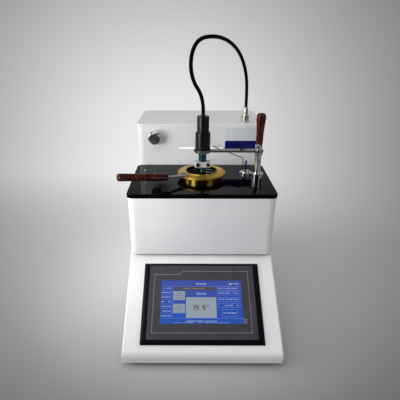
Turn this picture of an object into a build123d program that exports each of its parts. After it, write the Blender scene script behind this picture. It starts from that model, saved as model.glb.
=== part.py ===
from build123d import *
import math
import os

os.makedirs("parts", exist_ok=True)

# An open-cup flash point tester. Body coordinates: x from the body's mid-plane, y from the
# front face of the middle housing (towards the back), z from the underside of the body.

# ---- where the body stands in the part's own frame ----
BODY_X = 6.12
BODY_Y = -117.0
FOOT_H = 6.0

# ---- sheet-metal body ----
CASE_W = 291.0
CASE_FRONT = -164.0
CASE_BACK = 379.5
CASE_LOW = 4.0
CASE_H = 135.0
CASE_T = 2.5
SLOPE_DEG = 31.7
SLOPE_MID = (-79.2, 75.0)
MID_W = 286.5
MID_D = 195.6
PLATE_W = 290.0
PLATE_D = 192.0
PLATE_T = 8.0
PLATE_TOP = 264.6
REAR_W = 289.0
REAR_FRONT = 196.0
REAR_BACK = 380.0
REAR_TOP = 357.2
SHEET_T = 2.0
EDGE_R = 14.0

# ---- touch panel ----
BEZEL_W = 227.0
BEZEL_H = 163.0
BEZEL_PROUD = 5.5
OVERLAY_W = 204.6
OVERLAY_H = 147.9
LCD_W = 155.6
LCD_H = 87.0

# ---- cup and heater ----
CUP_X = 0.9
CUP_Y = 101.0
CUP_BORE_R = 32.0
CUP_WALL_R = 34.2
CUP_FLANGE_R = 50.2
CUP_FLOOR = 247.8
FLANGE_LOW = 274.8
WELL_R = 37.0
HANDLE_DEG = 216.0
HANDLE_R = 7.2
HANDLE_L = 108.8
HANDLE_TILT = 11.0
HANDLE_START = (86.5, 282.3)

# ---- lifting column, arm and sensor head ----
COL_X = 114.0
COL_Y = 80.0
ROD_R = 6.5
ROD_FIT = 0.05
HEAD_X = 2.0
ARM_LOW = 326.4
ARM_T = 4.0
EYE_LOW = 325.0
EYE_H = 6.4
HEAD_STEP = 364.8
HEAD_TOP = 396.2
PROBE_R = 4.8
PROBE_END = 254.4
BLOCK_LOW = 295.4
BLOCK_H = 11.6
CLAMP_SCREWS_AT = (HEAD_X - 9.4, HEAD_X + 11.2)

# ---- flame applicator ----
SWING_X = 97.6
SWING_Y = 128.6
BURNER_R = 1.1

# ---- gas, light strip and connector ----
KNOB_X = -102.5
KNOB_Z = 329.6
STRIP_Z = 302.7
SOCKET_X = 103.0
SOCKET_Y = 222.0
CABLE_R = 3.5

# ---- rear services ----
FAN_X = -70.0
FAN_Z = 268.0
INLET_X = 84.0
INLET_Z = 190.0
NIPPLE_X = -102.5
NIPPLE_Z = 190.0


def level(z, x=0.0, y=0.0):
    """Horizontal plane at a body point, facing up."""
    return Plane(origin=(BODY_X + x, BODY_Y + y, FOOT_H + z))


def upright(x=0.0, y=0.0, z=0.0):
    """Vertical plane at a body point, facing the user: local x is right, local y is up."""
    return Plane(origin=(BODY_X + x, BODY_Y + y, FOOT_H + z), x_dir=(1, 0, 0), z_dir=(0, -1, 0))


def sideways(x=0.0, y=0.0, z=0.0):
    """Vertical plane at a body point, facing right: local x is towards the back, local y is up."""
    return Plane(origin=(BODY_X + x, BODY_Y + y, FOOT_H + z), x_dir=(0, 1, 0), z_dir=(1, 0, 0))


def stem(x, y):
    """Vertical axis through a body point."""
    return Axis((BODY_X + x, BODY_Y + y, 0), (0, 0, 1))


def turned(x, y, *profile):
    """A lathe-turned piece on a vertical axis, from radius and height pairs."""
    with BuildPart() as piece:
        with BuildSketch(upright(x, y)):
            with BuildLine():
                Polyline(*profile, close=True)
            make_face()
        revolve(axis=stem(x, y))
    return piece.part


def turned_along_y(x, y, z, *profile):
    """A lathe-turned piece on an axis that runs front to back, from radius and depth pairs."""
    plane = Plane(origin=(BODY_X + x, BODY_Y + y, FOOT_H + z), x_dir=(1, 0, 0), z_dir=(0, 0, 1))
    with BuildPart() as piece:
        with BuildSketch(plane):
            with BuildLine():
                Polyline(*profile, close=True)
            make_face()
        revolve(axis=Axis(plane.origin, (0, 1, 0)))
    return piece.part


extents = []


def save(part, name, free_cord=False):
    """Label a finished piece, write it as its own file and note its box."""
    part.label = name
    export_step(part, "parts/" + name + ".step")
    print(name, "solids", len(part.solids()), "volume", round(part.volume))
    if not free_cord:
        extents.append(part.bounding_box())


PANEL = Plane(
    origin=(BODY_X, BODY_Y + SLOPE_MID[0], FOOT_H + SLOPE_MID[1]),
    x_dir=(1, 0, 0),
    z_dir=(0, -math.sin(math.radians(SLOPE_DEG)), math.cos(math.radians(SLOPE_DEG))),
)


# =============================== sheet-metal body ===============================

# The bottom tray closes the lower case and carries the feet; the slots let cooling air in, and
# four pressed-in pillars hold the control board.
BOARD_MID = (-62, 262)
FOOT_SPOTS = [(-112, -132), (112, -132), (-112, 348), (112, 348)]
with BuildPart() as base_tray:
    with BuildSketch(level(CASE_LOW)):
        with Locations((0, 108)):
            RectangleRounded(CASE_W - 2 * CASE_T - 1, 537, 6)
    extrude(amount=12)
    offset(amount=-1.5, openings=base_tray.faces().sort_by(Axis.Z)[-1])
    with BuildSketch(level(CASE_LOW)):
        with Locations((0, 60), (0, 290)):
            with GridLocations(52, 12, 4, 5):
                SlotOverall(38, 4)
        with Locations(*FOOT_SPOTS):
            Circle(2.2)
    extrude(amount=1.5, mode=Mode.SUBTRACT)
    with BuildSketch(level(CASE_LOW + 1.4, *BOARD_MID)):
        with GridLocations(108, 140, 2, 2):
            RegularPolygon(3.4, 6)
    extrude(amount=11.6 - CASE_LOW - 1.4)
save(base_tray.part, "base_tray")

# Four moulded feet, each with a spigot that snaps into the tray and a hollow under the pad.
with BuildPart() as rubber_feet:
    for foot_x, foot_y in FOOT_SPOTS:
        with BuildSketch(upright(foot_x, foot_y)):
            with BuildLine():
                Polyline((0, -4), (4, -4), (4, -6), (9.4, -6), (10.4, -5.2), (12, CASE_LOW), (2.2, CASE_LOW),
                         (2.2, CASE_LOW + 2.2), (0, CASE_LOW + 2.2), close=True)
            make_face()
        revolve(axis=stem(foot_x, foot_y))
save(rubber_feet.part, "rubber_feet")

# The lower case is one folded and welded shell: front lip, sloping console, flat top behind.
SLOPE_RISE = math.tan(math.radians(SLOPE_DEG))
LIP_Z = SLOPE_MID[1] + (CASE_FRONT - SLOPE_MID[0]) * SLOPE_RISE
CREST_Y = SLOPE_MID[0] + (CASE_H - SLOPE_MID[1]) / SLOPE_RISE
with BuildPart() as lower_case:
    with BuildSketch(sideways()):
        with BuildLine():
            Polyline((CASE_FRONT, CASE_LOW), (CASE_FRONT, LIP_Z), (CREST_Y, CASE_H), (CASE_BACK, CASE_H),
                     (CASE_BACK, CASE_LOW), close=True)
        case_face = make_face()
        nose = case_face.vertices().sort_by(Axis.X)[:2].sort_by(Axis.Y)[-1]
        fillet(nose, radius=14)
    extrude(amount=CASE_W / 2, both=True)
    side_edges = lower_case.faces().filter_by(Axis.X).edges()
    fillet(side_edges.filter_by(lambda e: e.center().Z > FOOT_H + CASE_LOW + 2 and e.center().Y < BODY_Y + CASE_BACK - 1),
           radius=4)
    offset(amount=-CASE_T, openings=lower_case.faces().sort_by(Axis.Z)[0])
    rim_edges = lower_case.faces().sort_by(Axis.Z)[0].outer_wire().edges()
    fillet(rim_edges, radius=1.9)
    with BuildSketch(PANEL):
        RectangleRounded(216, 153, 3)
    extrude(amount=8, both=True, mode=Mode.SUBTRACT)
    with BuildSketch(level(CASE_H - 6)):
        with Locations((0, 196)):
            RectangleRounded(252, 330, 6)
    extrude(amount=12, mode=Mode.SUBTRACT)
save(lower_case.part, "lower_case")

# The middle housing is a rounded box that stands slightly in front of the slope.
with BuildPart() as mid_housing:
    with BuildSketch(level(CASE_H)):
        with Locations((0, MID_D / 2)):
            mid_outline = Rectangle(MID_W, MID_D)
        fillet(mid_outline.vertices().group_by(Axis.Y)[0], radius=EDGE_R)
    extrude(amount=PLATE_TOP - PLATE_T - CASE_H)
    fillet(mid_housing.faces().sort_by(Axis.Z)[0].edges().sort_by(Axis.Y)[:-1], radius=1.8)
    with BuildSketch(level(CASE_H)):
        with Locations((0, MID_D / 2)):
            mid_inside = Rectangle(MID_W - 2 * SHEET_T, MID_D - 2 * SHEET_T)
        fillet(mid_inside.vertices().group_by(Axis.Y)[0], radius=EDGE_R - SHEET_T)
    extrude(amount=PLATE_TOP - PLATE_T - CASE_H, mode=Mode.SUBTRACT)
save(mid_housing.part, "mid_housing")

# The black top plate: well for the cup, bores for column, applicator and handle rest.
PLATE_SCREWS = [(-117, 13), (117, 13), (-119, 184), (119, 184)]
REST_X = -117.8
REST_Y = 102.0
with BuildPart() as top_plate:
    with BuildSketch(level(PLATE_TOP - PLATE_T)):
        with Locations((0, 1 + PLATE_D / 2)):
            RectangleRounded(PLATE_W, PLATE_D, 12)
    extrude(amount=PLATE_T)
    fillet(top_plate.faces().sort_by(Axis.Z)[-1].edges(), radius=1.6)
    with Locations(level(PLATE_TOP, CUP_X, CUP_Y)):
        Hole(WELL_R)
    with Locations(level(PLATE_TOP, COL_X, COL_Y)):
        Hole(9.0)
    with Locations(level(PLATE_TOP, SWING_X, SWING_Y)):
        Hole(5.0)
    with Locations(level(PLATE_TOP, REST_X, REST_Y)):
        Hole(1.6)
    for screw_x, screw_y in PLATE_SCREWS:
        with Locations(level(PLATE_TOP, screw_x, screw_y)):
            CounterSinkHole(2.1, 4.4, counter_sink_angle=90)
save(top_plate.part, "top_plate")

# Countersunk screws, flush with the plate, each with a hexagon socket.
with BuildPart() as plate_screws:
    for screw_x, screw_y in PLATE_SCREWS:
        with BuildSketch(upright(screw_x, screw_y)):
            with BuildLine():
                Polyline((0, PLATE_TOP - 0.1), (4.2, PLATE_TOP - 0.1), (2.0, PLATE_TOP - 2.3),
                         (2.0, PLATE_TOP - 14), (0, PLATE_TOP - 14), close=True)
            make_face()
        revolve(axis=stem(screw_x, screw_y))
        with BuildSketch(level(PLATE_TOP - 0.1, screw_x, screw_y)):
            RegularPolygon(1.45, 6)
        extrude(amount=-1.8, mode=Mode.SUBTRACT)
save(plate_screws.part, "plate_screws")

# The rear housing: taller box with rounded uprights, open below and windowed at the back.
PANEL_SCREWS = [(-127, 150), (0, 150), (127, 150), (-127, 344), (0, 344), (127, 344)]
with BuildPart() as rear_housing:
    with BuildSketch(level(CASE_H)):
        with Locations((0, (REAR_FRONT + REAR_BACK) / 2)):
            rear_outline = Rectangle(REAR_W, REAR_BACK - REAR_FRONT)
        fillet(rear_outline.vertices(), radius=EDGE_R)
    extrude(amount=REAR_TOP - CASE_H)
    fillet(rear_housing.faces().sort_by(Axis.Z)[-1].edges(), radius=1.2)
    offset(amount=-SHEET_T, openings=rear_housing.faces().sort_by(Axis.Z)[0])
    with BuildSketch(upright(0, REAR_BACK + 1)):
        with Locations((0, 247)):
            RectangleRounded(246, 190, 6)
    extrude(amount=6, mode=Mode.SUBTRACT)
    with BuildSketch(upright(0, REAR_FRONT + 4)):
        with Locations((0.8, STRIP_Z)):
            SlotOverall(100, 3.8)
        with Locations((KNOB_X, KNOB_Z)):
            Circle(6.1)
    extrude(amount=6, mode=Mode.SUBTRACT)
    with BuildSketch(upright(0, REAR_BACK + 1)):
        with Locations(*PANEL_SCREWS):
            Circle(1.6)
    extrude(amount=6, mode=Mode.SUBTRACT)
    with BuildSketch(level(REAR_TOP + 1)):
        with Locations((SOCKET_X, SOCKET_Y)):
            Circle(6.5)
    extrude(amount=-6, mode=Mode.SUBTRACT)
save(rear_housing.part, "rear_housing")

# The rear panel: fan grille of concentric slots, inlet cut-out, gas nipple hole and vents.
with BuildPart() as rear_panel:
    with BuildSketch(upright(0, REAR_BACK + 1.5)):
        with Locations((0, 247)):
            RectangleRounded(262, 206, 8)
        with Locations((INLET_X, INLET_Z)):
            Rectangle(27.6, 47.6, mode=Mode.SUBTRACT)
        with Locations((NIPPLE_X, NIPPLE_Z)):
            Circle(5.1, mode=Mode.SUBTRACT)
        with Locations(*PANEL_SCREWS):
            Circle(1.8, mode=Mode.SUBTRACT)
        with Locations((INLET_X - 6, 292)):
            with GridLocations(0, 9, 1, 7):
                SlotOverall(64, 4, mode=Mode.SUBTRACT)
    extrude(amount=1.5)
    for ring_r in (12, 19, 26, 33):
        with BuildSketch(upright(FAN_X, REAR_BACK + 2, FAN_Z)):
            Circle(ring_r + 2.2)
            Circle(ring_r - 2.2, mode=Mode.SUBTRACT)
            Rectangle(80, 3.4, mode=Mode.SUBTRACT)
            Rectangle(3.4, 80, mode=Mode.SUBTRACT)
        extrude(amount=2.5, mode=Mode.SUBTRACT)
save(rear_panel.part, "rear_panel")

with BuildPart() as rear_panel_screws:
    for screw_x, screw_z in PANEL_SCREWS:
        with BuildSketch(upright(screw_x, REAR_BACK + 1.5, screw_z)):
            Circle(3.0)
        extrude(amount=-1.8)
        with BuildSketch(upright(screw_x, REAR_BACK + 1.5, screw_z)):
            Circle(1.5)
        extrude(amount=8)
    fillet(rear_panel_screws.faces().group_by(Axis.Y)[-1].edges(), radius=1.0)
save(rear_panel_screws.part, "rear_panel_screws")

# The pale strip behind the cup: a rounded nose in the slot and a flange behind the sheet.
with BuildPart() as light_strip:
    with BuildSketch(upright(0.8, REAR_FRONT + SHEET_T, STRIP_Z)):
        SlotOverall(99.5, 3.3)
    extrude(amount=SHEET_T + 0.5)
    with BuildSketch(upright(0.8, REAR_FRONT + SHEET_T + 2.5, STRIP_Z)):
        RectangleRounded(108, 12, 2)
    extrude(amount=2.5)
save(light_strip.part, "light_strip")

# ================================= touch panel =================================

# Moulded bezel with a bevelled frame and a shallow recess for the overlay.
with BuildPart() as touch_bezel:
    with BuildSketch(PANEL):
        Rectangle(BEZEL_W, BEZEL_H)
    extrude(amount=BEZEL_PROUD)
    chamfer(touch_bezel.faces().sort_by(Axis((0, 0, 0), PANEL.z_dir))[-1].edges(), length=3.4, length2=4.6)
    with BuildSketch(PANEL.offset(BEZEL_PROUD)):
        with Locations((0, 1.3)):
            RectangleRounded(OVERLAY_W + 0.6, OVERLAY_H + 0.6, 1.4)
    extrude(amount=-1.0, mode=Mode.SUBTRACT)
    with BuildSketch(PANEL):
        RectangleRounded(214, 151, 3)
    extrude(amount=-4)
    with BuildSketch(PANEL.offset(BEZEL_PROUD)):
        Rectangle(LCD_W + 18, LCD_H + 16)
    extrude(amount=-12, mode=Mode.SUBTRACT)
save(touch_bezel.part, "touch_bezel")

with BuildPart() as panel_overlay:
    with BuildSketch(PANEL.offset(BEZEL_PROUD - 1.0)):
        with Locations((0, 1.3)):
            RectangleRounded(OVERLAY_W, OVERLAY_H, 1.1)
        with Locations((-0.8, 0)):
            Rectangle(LCD_W, LCD_H, mode=Mode.SUBTRACT)
    extrude(amount=0.8)
save(panel_overlay.part, "panel_overlay")

with BuildPart() as lcd_screen:
    with BuildSketch(PANEL.offset(BEZEL_PROUD - 5.4)):
        Rectangle(LCD_W + 16, LCD_H + 14)
    extrude(amount=4.4)
    with BuildSketch(PANEL.offset(BEZEL_PROUD - 1.0)):
        with Locations((-0.8, 0)):
            Rectangle(LCD_W - 0.4, LCD_H - 0.4)
    extrude(amount=0.6)
save(lcd_screen.part, "lcd_screen")

# Electronics box of the touch panel, with a stepped back and cooling slots.
with BuildPart() as panel_module:
    with BuildSketch(PANEL.offset(-4)):
        RectangleRounded(210, 147, 4)
    extrude(amount=-14)
    with BuildSketch(PANEL.offset(-18)):
        RectangleRounded(168, 104, 4)
    extrude(amount=-10)
    with BuildSketch(PANEL.offset(-28)):
        with GridLocations(14, 0, 9, 1):
            SlotOverall(70, 4, rotation=90)
    extrude(amount=3, mode=Mode.SUBTRACT)
save(panel_module.part, "panel_module")

# Screw clips that pull the panel against the back of the console sheet.
with BuildPart() as panel_clips:
    for clip_x, clip_y in [(-60, 75.6), (60, 75.6), (-60, -75.6), (60, -75.6)]:
        side = math.copysign(1, clip_y)
        with BuildSketch(PANEL.offset(-CASE_T)):
            with Locations((clip_x, clip_y + side * 4.4)):
                Rectangle(12, 5)
        extrude(amount=-3)
        with BuildSketch(PANEL.offset(-CASE_T - 3)):
            with Locations((clip_x, clip_y + side * 4.4)):
                Circle(2)
        extrude(amount=-10)
        with BuildSketch(PANEL.offset(-CASE_T - 13)):
            with Locations((clip_x, clip_y + side * 2.6)):
                Rectangle(12, 8.8)
        extrude(amount=-2.5)
save(panel_clips.part, "panel_clips")

# ================================ cup and heater ================================

# The brass cup: straight bore, rounded floor, wide flange that rises gently to a raised lip.
with BuildPart() as brass_cup:
    with BuildSketch(upright(CUP_X, CUP_Y)) as cup_section:
        with BuildLine():
            Polyline((0, CUP_FLOOR), (CUP_BORE_R, CUP_FLOOR), (CUP_BORE_R, 280.6), (32.8, 281.4), (34.3, 281.4),
                     (35.6, 280.0), (49.6, 278.1), (CUP_FLANGE_R, 277.5), (CUP_FLANGE_R, 275.3),
                     (49.7, FLANGE_LOW), (CUP_WALL_R, FLANGE_LOW), (CUP_WALL_R, 244.6), (0, 244.6), close=True)
        make_face()
        corners = cup_section.vertices()
        fillet(corners.sort_by_distance(upright(CUP_X, CUP_Y).from_local_coords((CUP_BORE_R, CUP_FLOOR)))[0],
               radius=4)
        fillet(corners.sort_by_distance(upright(CUP_X, CUP_Y).from_local_coords((CUP_WALL_R, 244.6)))[0],
               radius=3)
    revolve(axis=stem(CUP_X, CUP_Y))
    for screw_deg in (HANDLE_DEG - 9, HANDLE_DEG + 9):
        hole_x = CUP_X + 43.5 * math.cos(math.radians(screw_deg))
        hole_y = CUP_Y + 43.5 * math.sin(math.radians(screw_deg))
        with Locations(level(282, hole_x, hole_y)):
            Hole(1.5, depth=10)
save(brass_cup.part, "brass_cup")

# Seat ring: a brass collar with a spigot in the plate's well; the flange rests on it.
seat_ring = turned(CUP_X, CUP_Y, (34.9, 258.2), (WELL_R - 0.1, 258.2), (WELL_R - 0.1, PLATE_TOP),
                   (40.0, PLATE_TOP), (40.0, 273.8), (39.0, FLANGE_LOW), (35.8, FLANGE_LOW), (34.9, 273.9))
save(seat_ring, "cup_seat_ring")

# The handle runs out from the cup's flange and rises: its own frame lies along its length.
handle_dir = math.radians(HANDLE_DEG)
out_x, out_y = math.cos(handle_dir), math.sin(handle_dir)


def along_handle(radius, z):
    """Body point at a distance from the cup's axis, in the handle's direction."""
    return (BODY_X + CUP_X + radius * out_x, BODY_Y + CUP_Y + radius * out_y, FOOT_H + z)


TILT = math.radians(HANDLE_TILT)
handle_side = Plane(origin=along_handle(0, 0), x_dir=(out_x, out_y, 0), z_dir=(out_y, -out_x, 0))
handle_axis = Plane(
    origin=along_handle(*HANDLE_START),
    x_dir=(-out_y, out_x, 0),
    z_dir=(out_x * math.cos(TILT), out_y * math.cos(TILT), math.sin(TILT)),
)

# Two rivets across the handle, domed at both ends; they pin the tang in its saw cut.
RIVETS_AT = (10.5, 29.0)
RIVET_R = 1.5
RIVET_SEAT = HANDLE_R - 0.7
rivet_up = Vector(-out_x * math.sin(TILT), -out_y * math.sin(TILT), math.cos(TILT))
with BuildPart() as handle_rivets:
    for rivet_at in RIVETS_AT:
        middle = handle_axis.origin + handle_axis.z_dir * rivet_at
        with BuildSketch(Plane(middle, z_dir=rivet_up)):
            Circle(RIVET_R)
        extrude(amount=RIVET_SEAT, both=True)
        for way in (-1, 1):
            with BuildSketch(Plane(middle + rivet_up * way * RIVET_SEAT, z_dir=rivet_up * way)):
                Circle(2.4)
            extrude(amount=1.5, taper=24)
save(handle_rivets.part, "handle_rivets")

# Strap: one strip of steel, bent where it leaves the flange, its tang lying in the handle.
STRAP_T = 1.8
tang_start = Vector(HANDLE_START[0] - 3, HANDLE_START[1] - 1.0)
tang_end = Vector(HANDLE_START[0] + 42 * math.cos(TILT), HANDLE_START[1] + 42 * math.sin(TILT) - 0.4)
tang_run = (tang_end - tang_start).normalized()
tang_up = Vector(-tang_run.Y, tang_run.X)
tang_length = (tang_end - tang_start).length
with BuildPart() as cup_strap:
    with BuildSketch(handle_side):
        with BuildLine() as strap_line:
            Polyline((38.0, 279.7), (50.6, 278.05), (62.0, 278.9), tang_start, tang_end)
            offset(amount=STRAP_T, side=Side.LEFT)
        make_face()
    extrude(amount=16, both=True)
    with BuildSketch(level(260, CUP_X, CUP_Y).rotated((0, 0, HANDLE_DEG)), mode=Mode.PRIVATE) as strap_outline:
        with BuildLine():
            Polyline((38, -7), (38, 7), (40.5, 10.2), (47, 10.2), (52, 7.2), (60, 4.6), (80, 4.6), (86, 6.0),
                     (86, -6.0), (80, -4.6), (60, -4.6), (52, -7.2), (47, -10.2), (40.5, -10.2), close=True)
        make_face()
        with Locations((106.5, 0)):
            Rectangle(41.5, 12.0)
    extrude(strap_outline.sketch, amount=50, mode=Mode.INTERSECT)
    for screw_deg in (HANDLE_DEG - 9, HANDLE_DEG + 9):
        hole_x = CUP_X + 43.5 * math.cos(math.radians(screw_deg))
        hole_y = CUP_Y + 43.5 * math.sin(math.radians(screw_deg))
        with Locations(level(290, hole_x, hole_y)):
            Hole(1.5, depth=20)
    add(handle_rivets.part, mode=Mode.SUBTRACT)
save(cup_strap.part, "cup_strap")

with BuildPart() as strap_screws:
    for screw_deg in (HANDLE_DEG - 9, HANDLE_DEG + 9):
        screw_x = CUP_X + 43.5 * math.cos(math.radians(screw_deg))
        screw_y = CUP_Y + 43.5 * math.sin(math.radians(screw_deg))
        with BuildSketch(upright(screw_x, screw_y)):
            with BuildLine():
                Polyline((0, 274.8), (1.45, 274.8), (1.45, 281.5), (2.7, 281.5), (2.7, 282.6), (2.1, 283.3),
                         (0, 283.3), close=True)
            make_face()
        revolve(axis=stem(screw_x, screw_y))
        with BuildSketch(level(283.3, screw_x, screw_y)):
            Rectangle(6, 0.8, rotation=screw_deg)
        extrude(amount=-0.7, mode=Mode.SUBTRACT)
save(strap_screws.part, "strap_screws")

# Turned wooden handle: slight swell, domed end, a saw cut for the tang and two rivet holes.
with BuildPart() as cup_handle:
    with BuildSketch(Plane(handle_axis.origin, x_dir=handle_axis.x_dir, z_dir=-handle_axis.y_dir)):
        with BuildLine():
            shoulder = Line((0, 0), (HANDLE_R - 0.9, 0))
            swell = Spline((HANDLE_R - 0.9, 0), (HANDLE_R - 0.2, 8), (HANDLE_R - 0.3, 48),
                           (HANDLE_R, 84), (HANDLE_R + 0.1, HANDLE_L - 5))
            dome = Spline(swell @ 1, (HANDLE_R - 2.6, HANDLE_L - 0.9), (0, HANDLE_L),
                          tangents=[swell % 1, (-1, 0)])
            Line(dome @ 1, (0, 0))
        make_face()
    revolve(axis=Axis(handle_axis.origin, handle_axis.z_dir))
    with BuildSketch(handle_side):
        with BuildLine():
            Polyline(tang_start - tang_run * 4, tang_start + tang_run * (tang_length + 0.4),
                     tang_start + tang_run * (tang_length + 0.4) + tang_up * STRAP_T,
                     tang_start - tang_run * 4 + tang_up * STRAP_T, close=True)
        make_face()
    extrude(amount=12, both=True, mode=Mode.SUBTRACT)
    for rivet_at in RIVETS_AT:
        middle = handle_axis.origin + handle_axis.z_dir * rivet_at
        with BuildSketch(Plane(middle, z_dir=rivet_up)):
            Circle(RIVET_R)
        extrude(amount=10, both=True, mode=Mode.SUBTRACT)
        for way in (-1, 1):
            with BuildSketch(Plane(middle + rivet_up * way * RIVET_SEAT, z_dir=rivet_up * way)):
                Circle(2.55)
            extrude(amount=5, mode=Mode.SUBTRACT)
save(cup_handle.part, "cup_handle")

# Rest post for the handle: a slim pin with a grooved, rounded head.
rest_post = turned(REST_X, REST_Y, (0, 254), (1.5, 254), (1.5, PLATE_TOP), (2.6, PLATE_TOP),
                   (2.6, PLATE_TOP + 1.6), (1.5, PLATE_TOP + 2.2), (1.5, 274.2), (2.0, 274.6), (2.0, 277.4),
                   (1.4, 277.9), (1.4, 278.5), (2.0, 278.9), (2.0, 280.4), (1.2, 281.4), (0, 281.4))
save(rest_post, "handle_rest_post")

# Heater block: a cast disc, dished to take the foot of the cup, stepped below for the element.
heater_block = turned(CUP_X, CUP_Y, (0, 228), (19, 228), (19, 224), (44, 224), (44, 250), (42.5, 251.5),
                      (36.5, 251.5), (35.0, 250), (35.0, 244.0), (0, 244.0))
save(heater_block, "heater_block")

# Element: a bent tube under the block, with both ends turned down through the floor.
with BuildPart() as heater_element:
    with BuildSketch(upright(CUP_X, CUP_Y)):
        with Locations((30, 219.9)):
            Circle(4.0)
    revolve(axis=stem(CUP_X, CUP_Y), revolution_arc=320)
    for end in heater_element.faces().filter_by(GeomType.PLANE):
        with BuildSketch(Plane(end.center())):
            Circle(3.2)
        extrude(amount=-26)
save(heater_element.part, "heater_element")

# Three ceramic pillars hold the block off the floor of the can.
CAN_FLOOR = 200.0
with BuildPart() as heater_pillars:
    with BuildSketch(level(CAN_FLOOR, CUP_X, CUP_Y)):
        with PolarLocations(39.5, 3, start_angle=100):
            Circle(3.6)
    extrude(amount=24)
save(heater_pillars.part, "heater_pillars")

# Sheet can under the plate, with a screwed rim; the element's ends leave through its floor.
with BuildPart() as heater_can:
    with BuildSketch(upright(CUP_X, CUP_Y)):
        with BuildLine():
            Polyline((0, CAN_FLOOR - 1.5), (60, CAN_FLOOR - 1.5), (61.5, CAN_FLOOR), (61.5, 255.1), (70, 255.1),
                     (70, 256.6), (60, 256.6), (60, CAN_FLOOR), (0, CAN_FLOOR), close=True)
        make_face()
    revolve(axis=stem(CUP_X, CUP_Y))
    for end in heater_element.faces().filter_by(GeomType.PLANE).sort_by(Axis.Z)[:2]:
        with BuildSketch(Plane((end.center().X, end.center().Y, FOOT_H + CAN_FLOOR - 3))):
            Circle(5.0)
        extrude(amount=6, mode=Mode.SUBTRACT)
    with BuildSketch(level(252, CUP_X, CUP_Y)):
        with PolarLocations(66, 3, start_angle=90):
            Circle(1.7)
    extrude(amount=6, mode=Mode.SUBTRACT)
save(heater_can.part, "heater_can")

heater_lagging = turned(CUP_X, CUP_Y, (45.5, 204), (59.5, 204), (59.5, 250), (45.5, 250))
save(heater_lagging, "heater_lagging")

# ============================ lifting column and arm ============================

# Sleeve on the plate: a plain barrel under a wider collar, bored for the rod.
column_sleeve = turned(COL_X, COL_Y, (ROD_R + ROD_FIT, 256.8), (8.9, 256.8), (8.9, PLATE_TOP), (10.4, PLATE_TOP),
                       (10.4, 278.9), (12.3, 278.9), (13.1, 279.7), (13.1, 281.5), (12.3, 282.3), (7.2, 282.3),
                       (7.2, 279.5), (ROD_R + ROD_FIT, 278.9))
save(column_sleeve, "column_sleeve")

# Long guide bush under the plate, closed below by its own buffer.
rod_guide = turned(COL_X, COL_Y, (0, 144), (9, 144), (11, 146), (11, 252.6), (17, 252.6), (17, 256.6),
                   (ROD_R + ROD_FIT, 256.6), (ROD_R + ROD_FIT, 148), (0, 148))
save(rod_guide, "rod_guide")

with BuildPart() as lift_rod:
    with BuildSketch(upright(COL_X, COL_Y)):
        with BuildLine():
            Polyline((0, 152), (5.5, 152), (ROD_R, 153), (ROD_R, 320), (8.2, 320), (8.8, 320.6), (8.8, 325.8),
                     (8.2, ARM_LOW), (4.5, ARM_LOW), (4.5, 338), (0, 338), close=True)
        make_face()
    revolve(axis=stem(COL_X, COL_Y))
    with BuildSketch(upright(COL_X + 1.2, COL_Y - 12, 309)):
        Circle(1.5)
    extrude(amount=-10, mode=Mode.SUBTRACT)
save(lift_rod.part, "lift_rod")

with BuildPart() as index_pin:
    with BuildSketch(upright(COL_X + 1.2, COL_Y - ROD_R - 0.7, 309)):
        Circle(1.5)
    extrude(amount=-5.1)
    fillet(index_pin.faces().sort_by(Axis.Y)[0].edges(), radius=0.5)
save(index_pin.part, "index_pin")

# Flat arm with an eye ring at the head and a rounded end on the rod's shoulder.
with BuildPart() as lift_arm:
    with BuildSketch(level(ARM_LOW)):
        with Locations(((HEAD_X + COL_X) / 2, COL_Y)):
            Rectangle(COL_X - HEAD_X, 15)
        with Locations((COL_X, COL_Y)):
            Circle(9.5)
    extrude(amount=ARM_T)
    with BuildSketch(upright(HEAD_X, COL_Y)):
        with BuildLine():
            Polyline((0, EYE_LOW), (15.6, EYE_LOW), (18.2, EYE_LOW + 2.4), (18.2, EYE_LOW + EYE_H - 0.8),
                     (17.4, EYE_LOW + EYE_H), (0, EYE_LOW + EYE_H), close=True)
        make_face()
    revolve(axis=stem(HEAD_X, COL_Y))
    chamfer(lift_arm.edges().filter_by(Axis.X).group_by(Axis.Z)[-1], length=0.6)
    with BuildSketch(level(EYE_LOW - 1)):
        with Locations((HEAD_X, COL_Y)):
            Circle(8.0)
        with Locations((COL_X, COL_Y)):
            Circle(4.5)
        with Locations((79.6, COL_Y)):
            Circle(1.6)
    extrude(amount=10, mode=Mode.SUBTRACT)
save(lift_arm.part, "lift_arm")

with BuildPart() as arm_screw:
    with BuildSketch(upright(79.6, COL_Y)):
        with BuildLine():
            Polyline((0, ARM_LOW - 1), (1.5, ARM_LOW - 1), (1.5, ARM_LOW + ARM_T), (2.9, ARM_LOW + ARM_T),
                     (2.9, ARM_LOW + ARM_T + 1.2), (2.0, ARM_LOW + ARM_T + 2.0), (0, ARM_LOW + ARM_T + 2.0), close=True)
        make_face()
    revolve(axis=stem(79.6, COL_Y))
    with BuildSketch(level(ARM_LOW + ARM_T + 2.0, 79.6, COL_Y)):
        Rectangle(6, 0.8)
    extrude(amount=-0.8, mode=Mode.SUBTRACT)
save(arm_screw.part, "arm_screw")

grip_ferrule = turned(COL_X, COL_Y, (4.5, 330.4), (6.9, 330.4), (6.9, 332.4), (6.3, 333.0), (6.9, 333.6),
                      (6.9, 341.0), (6.3, 341.8), (4.5, 341.8))
save(grip_ferrule, "grip_ferrule")

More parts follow.
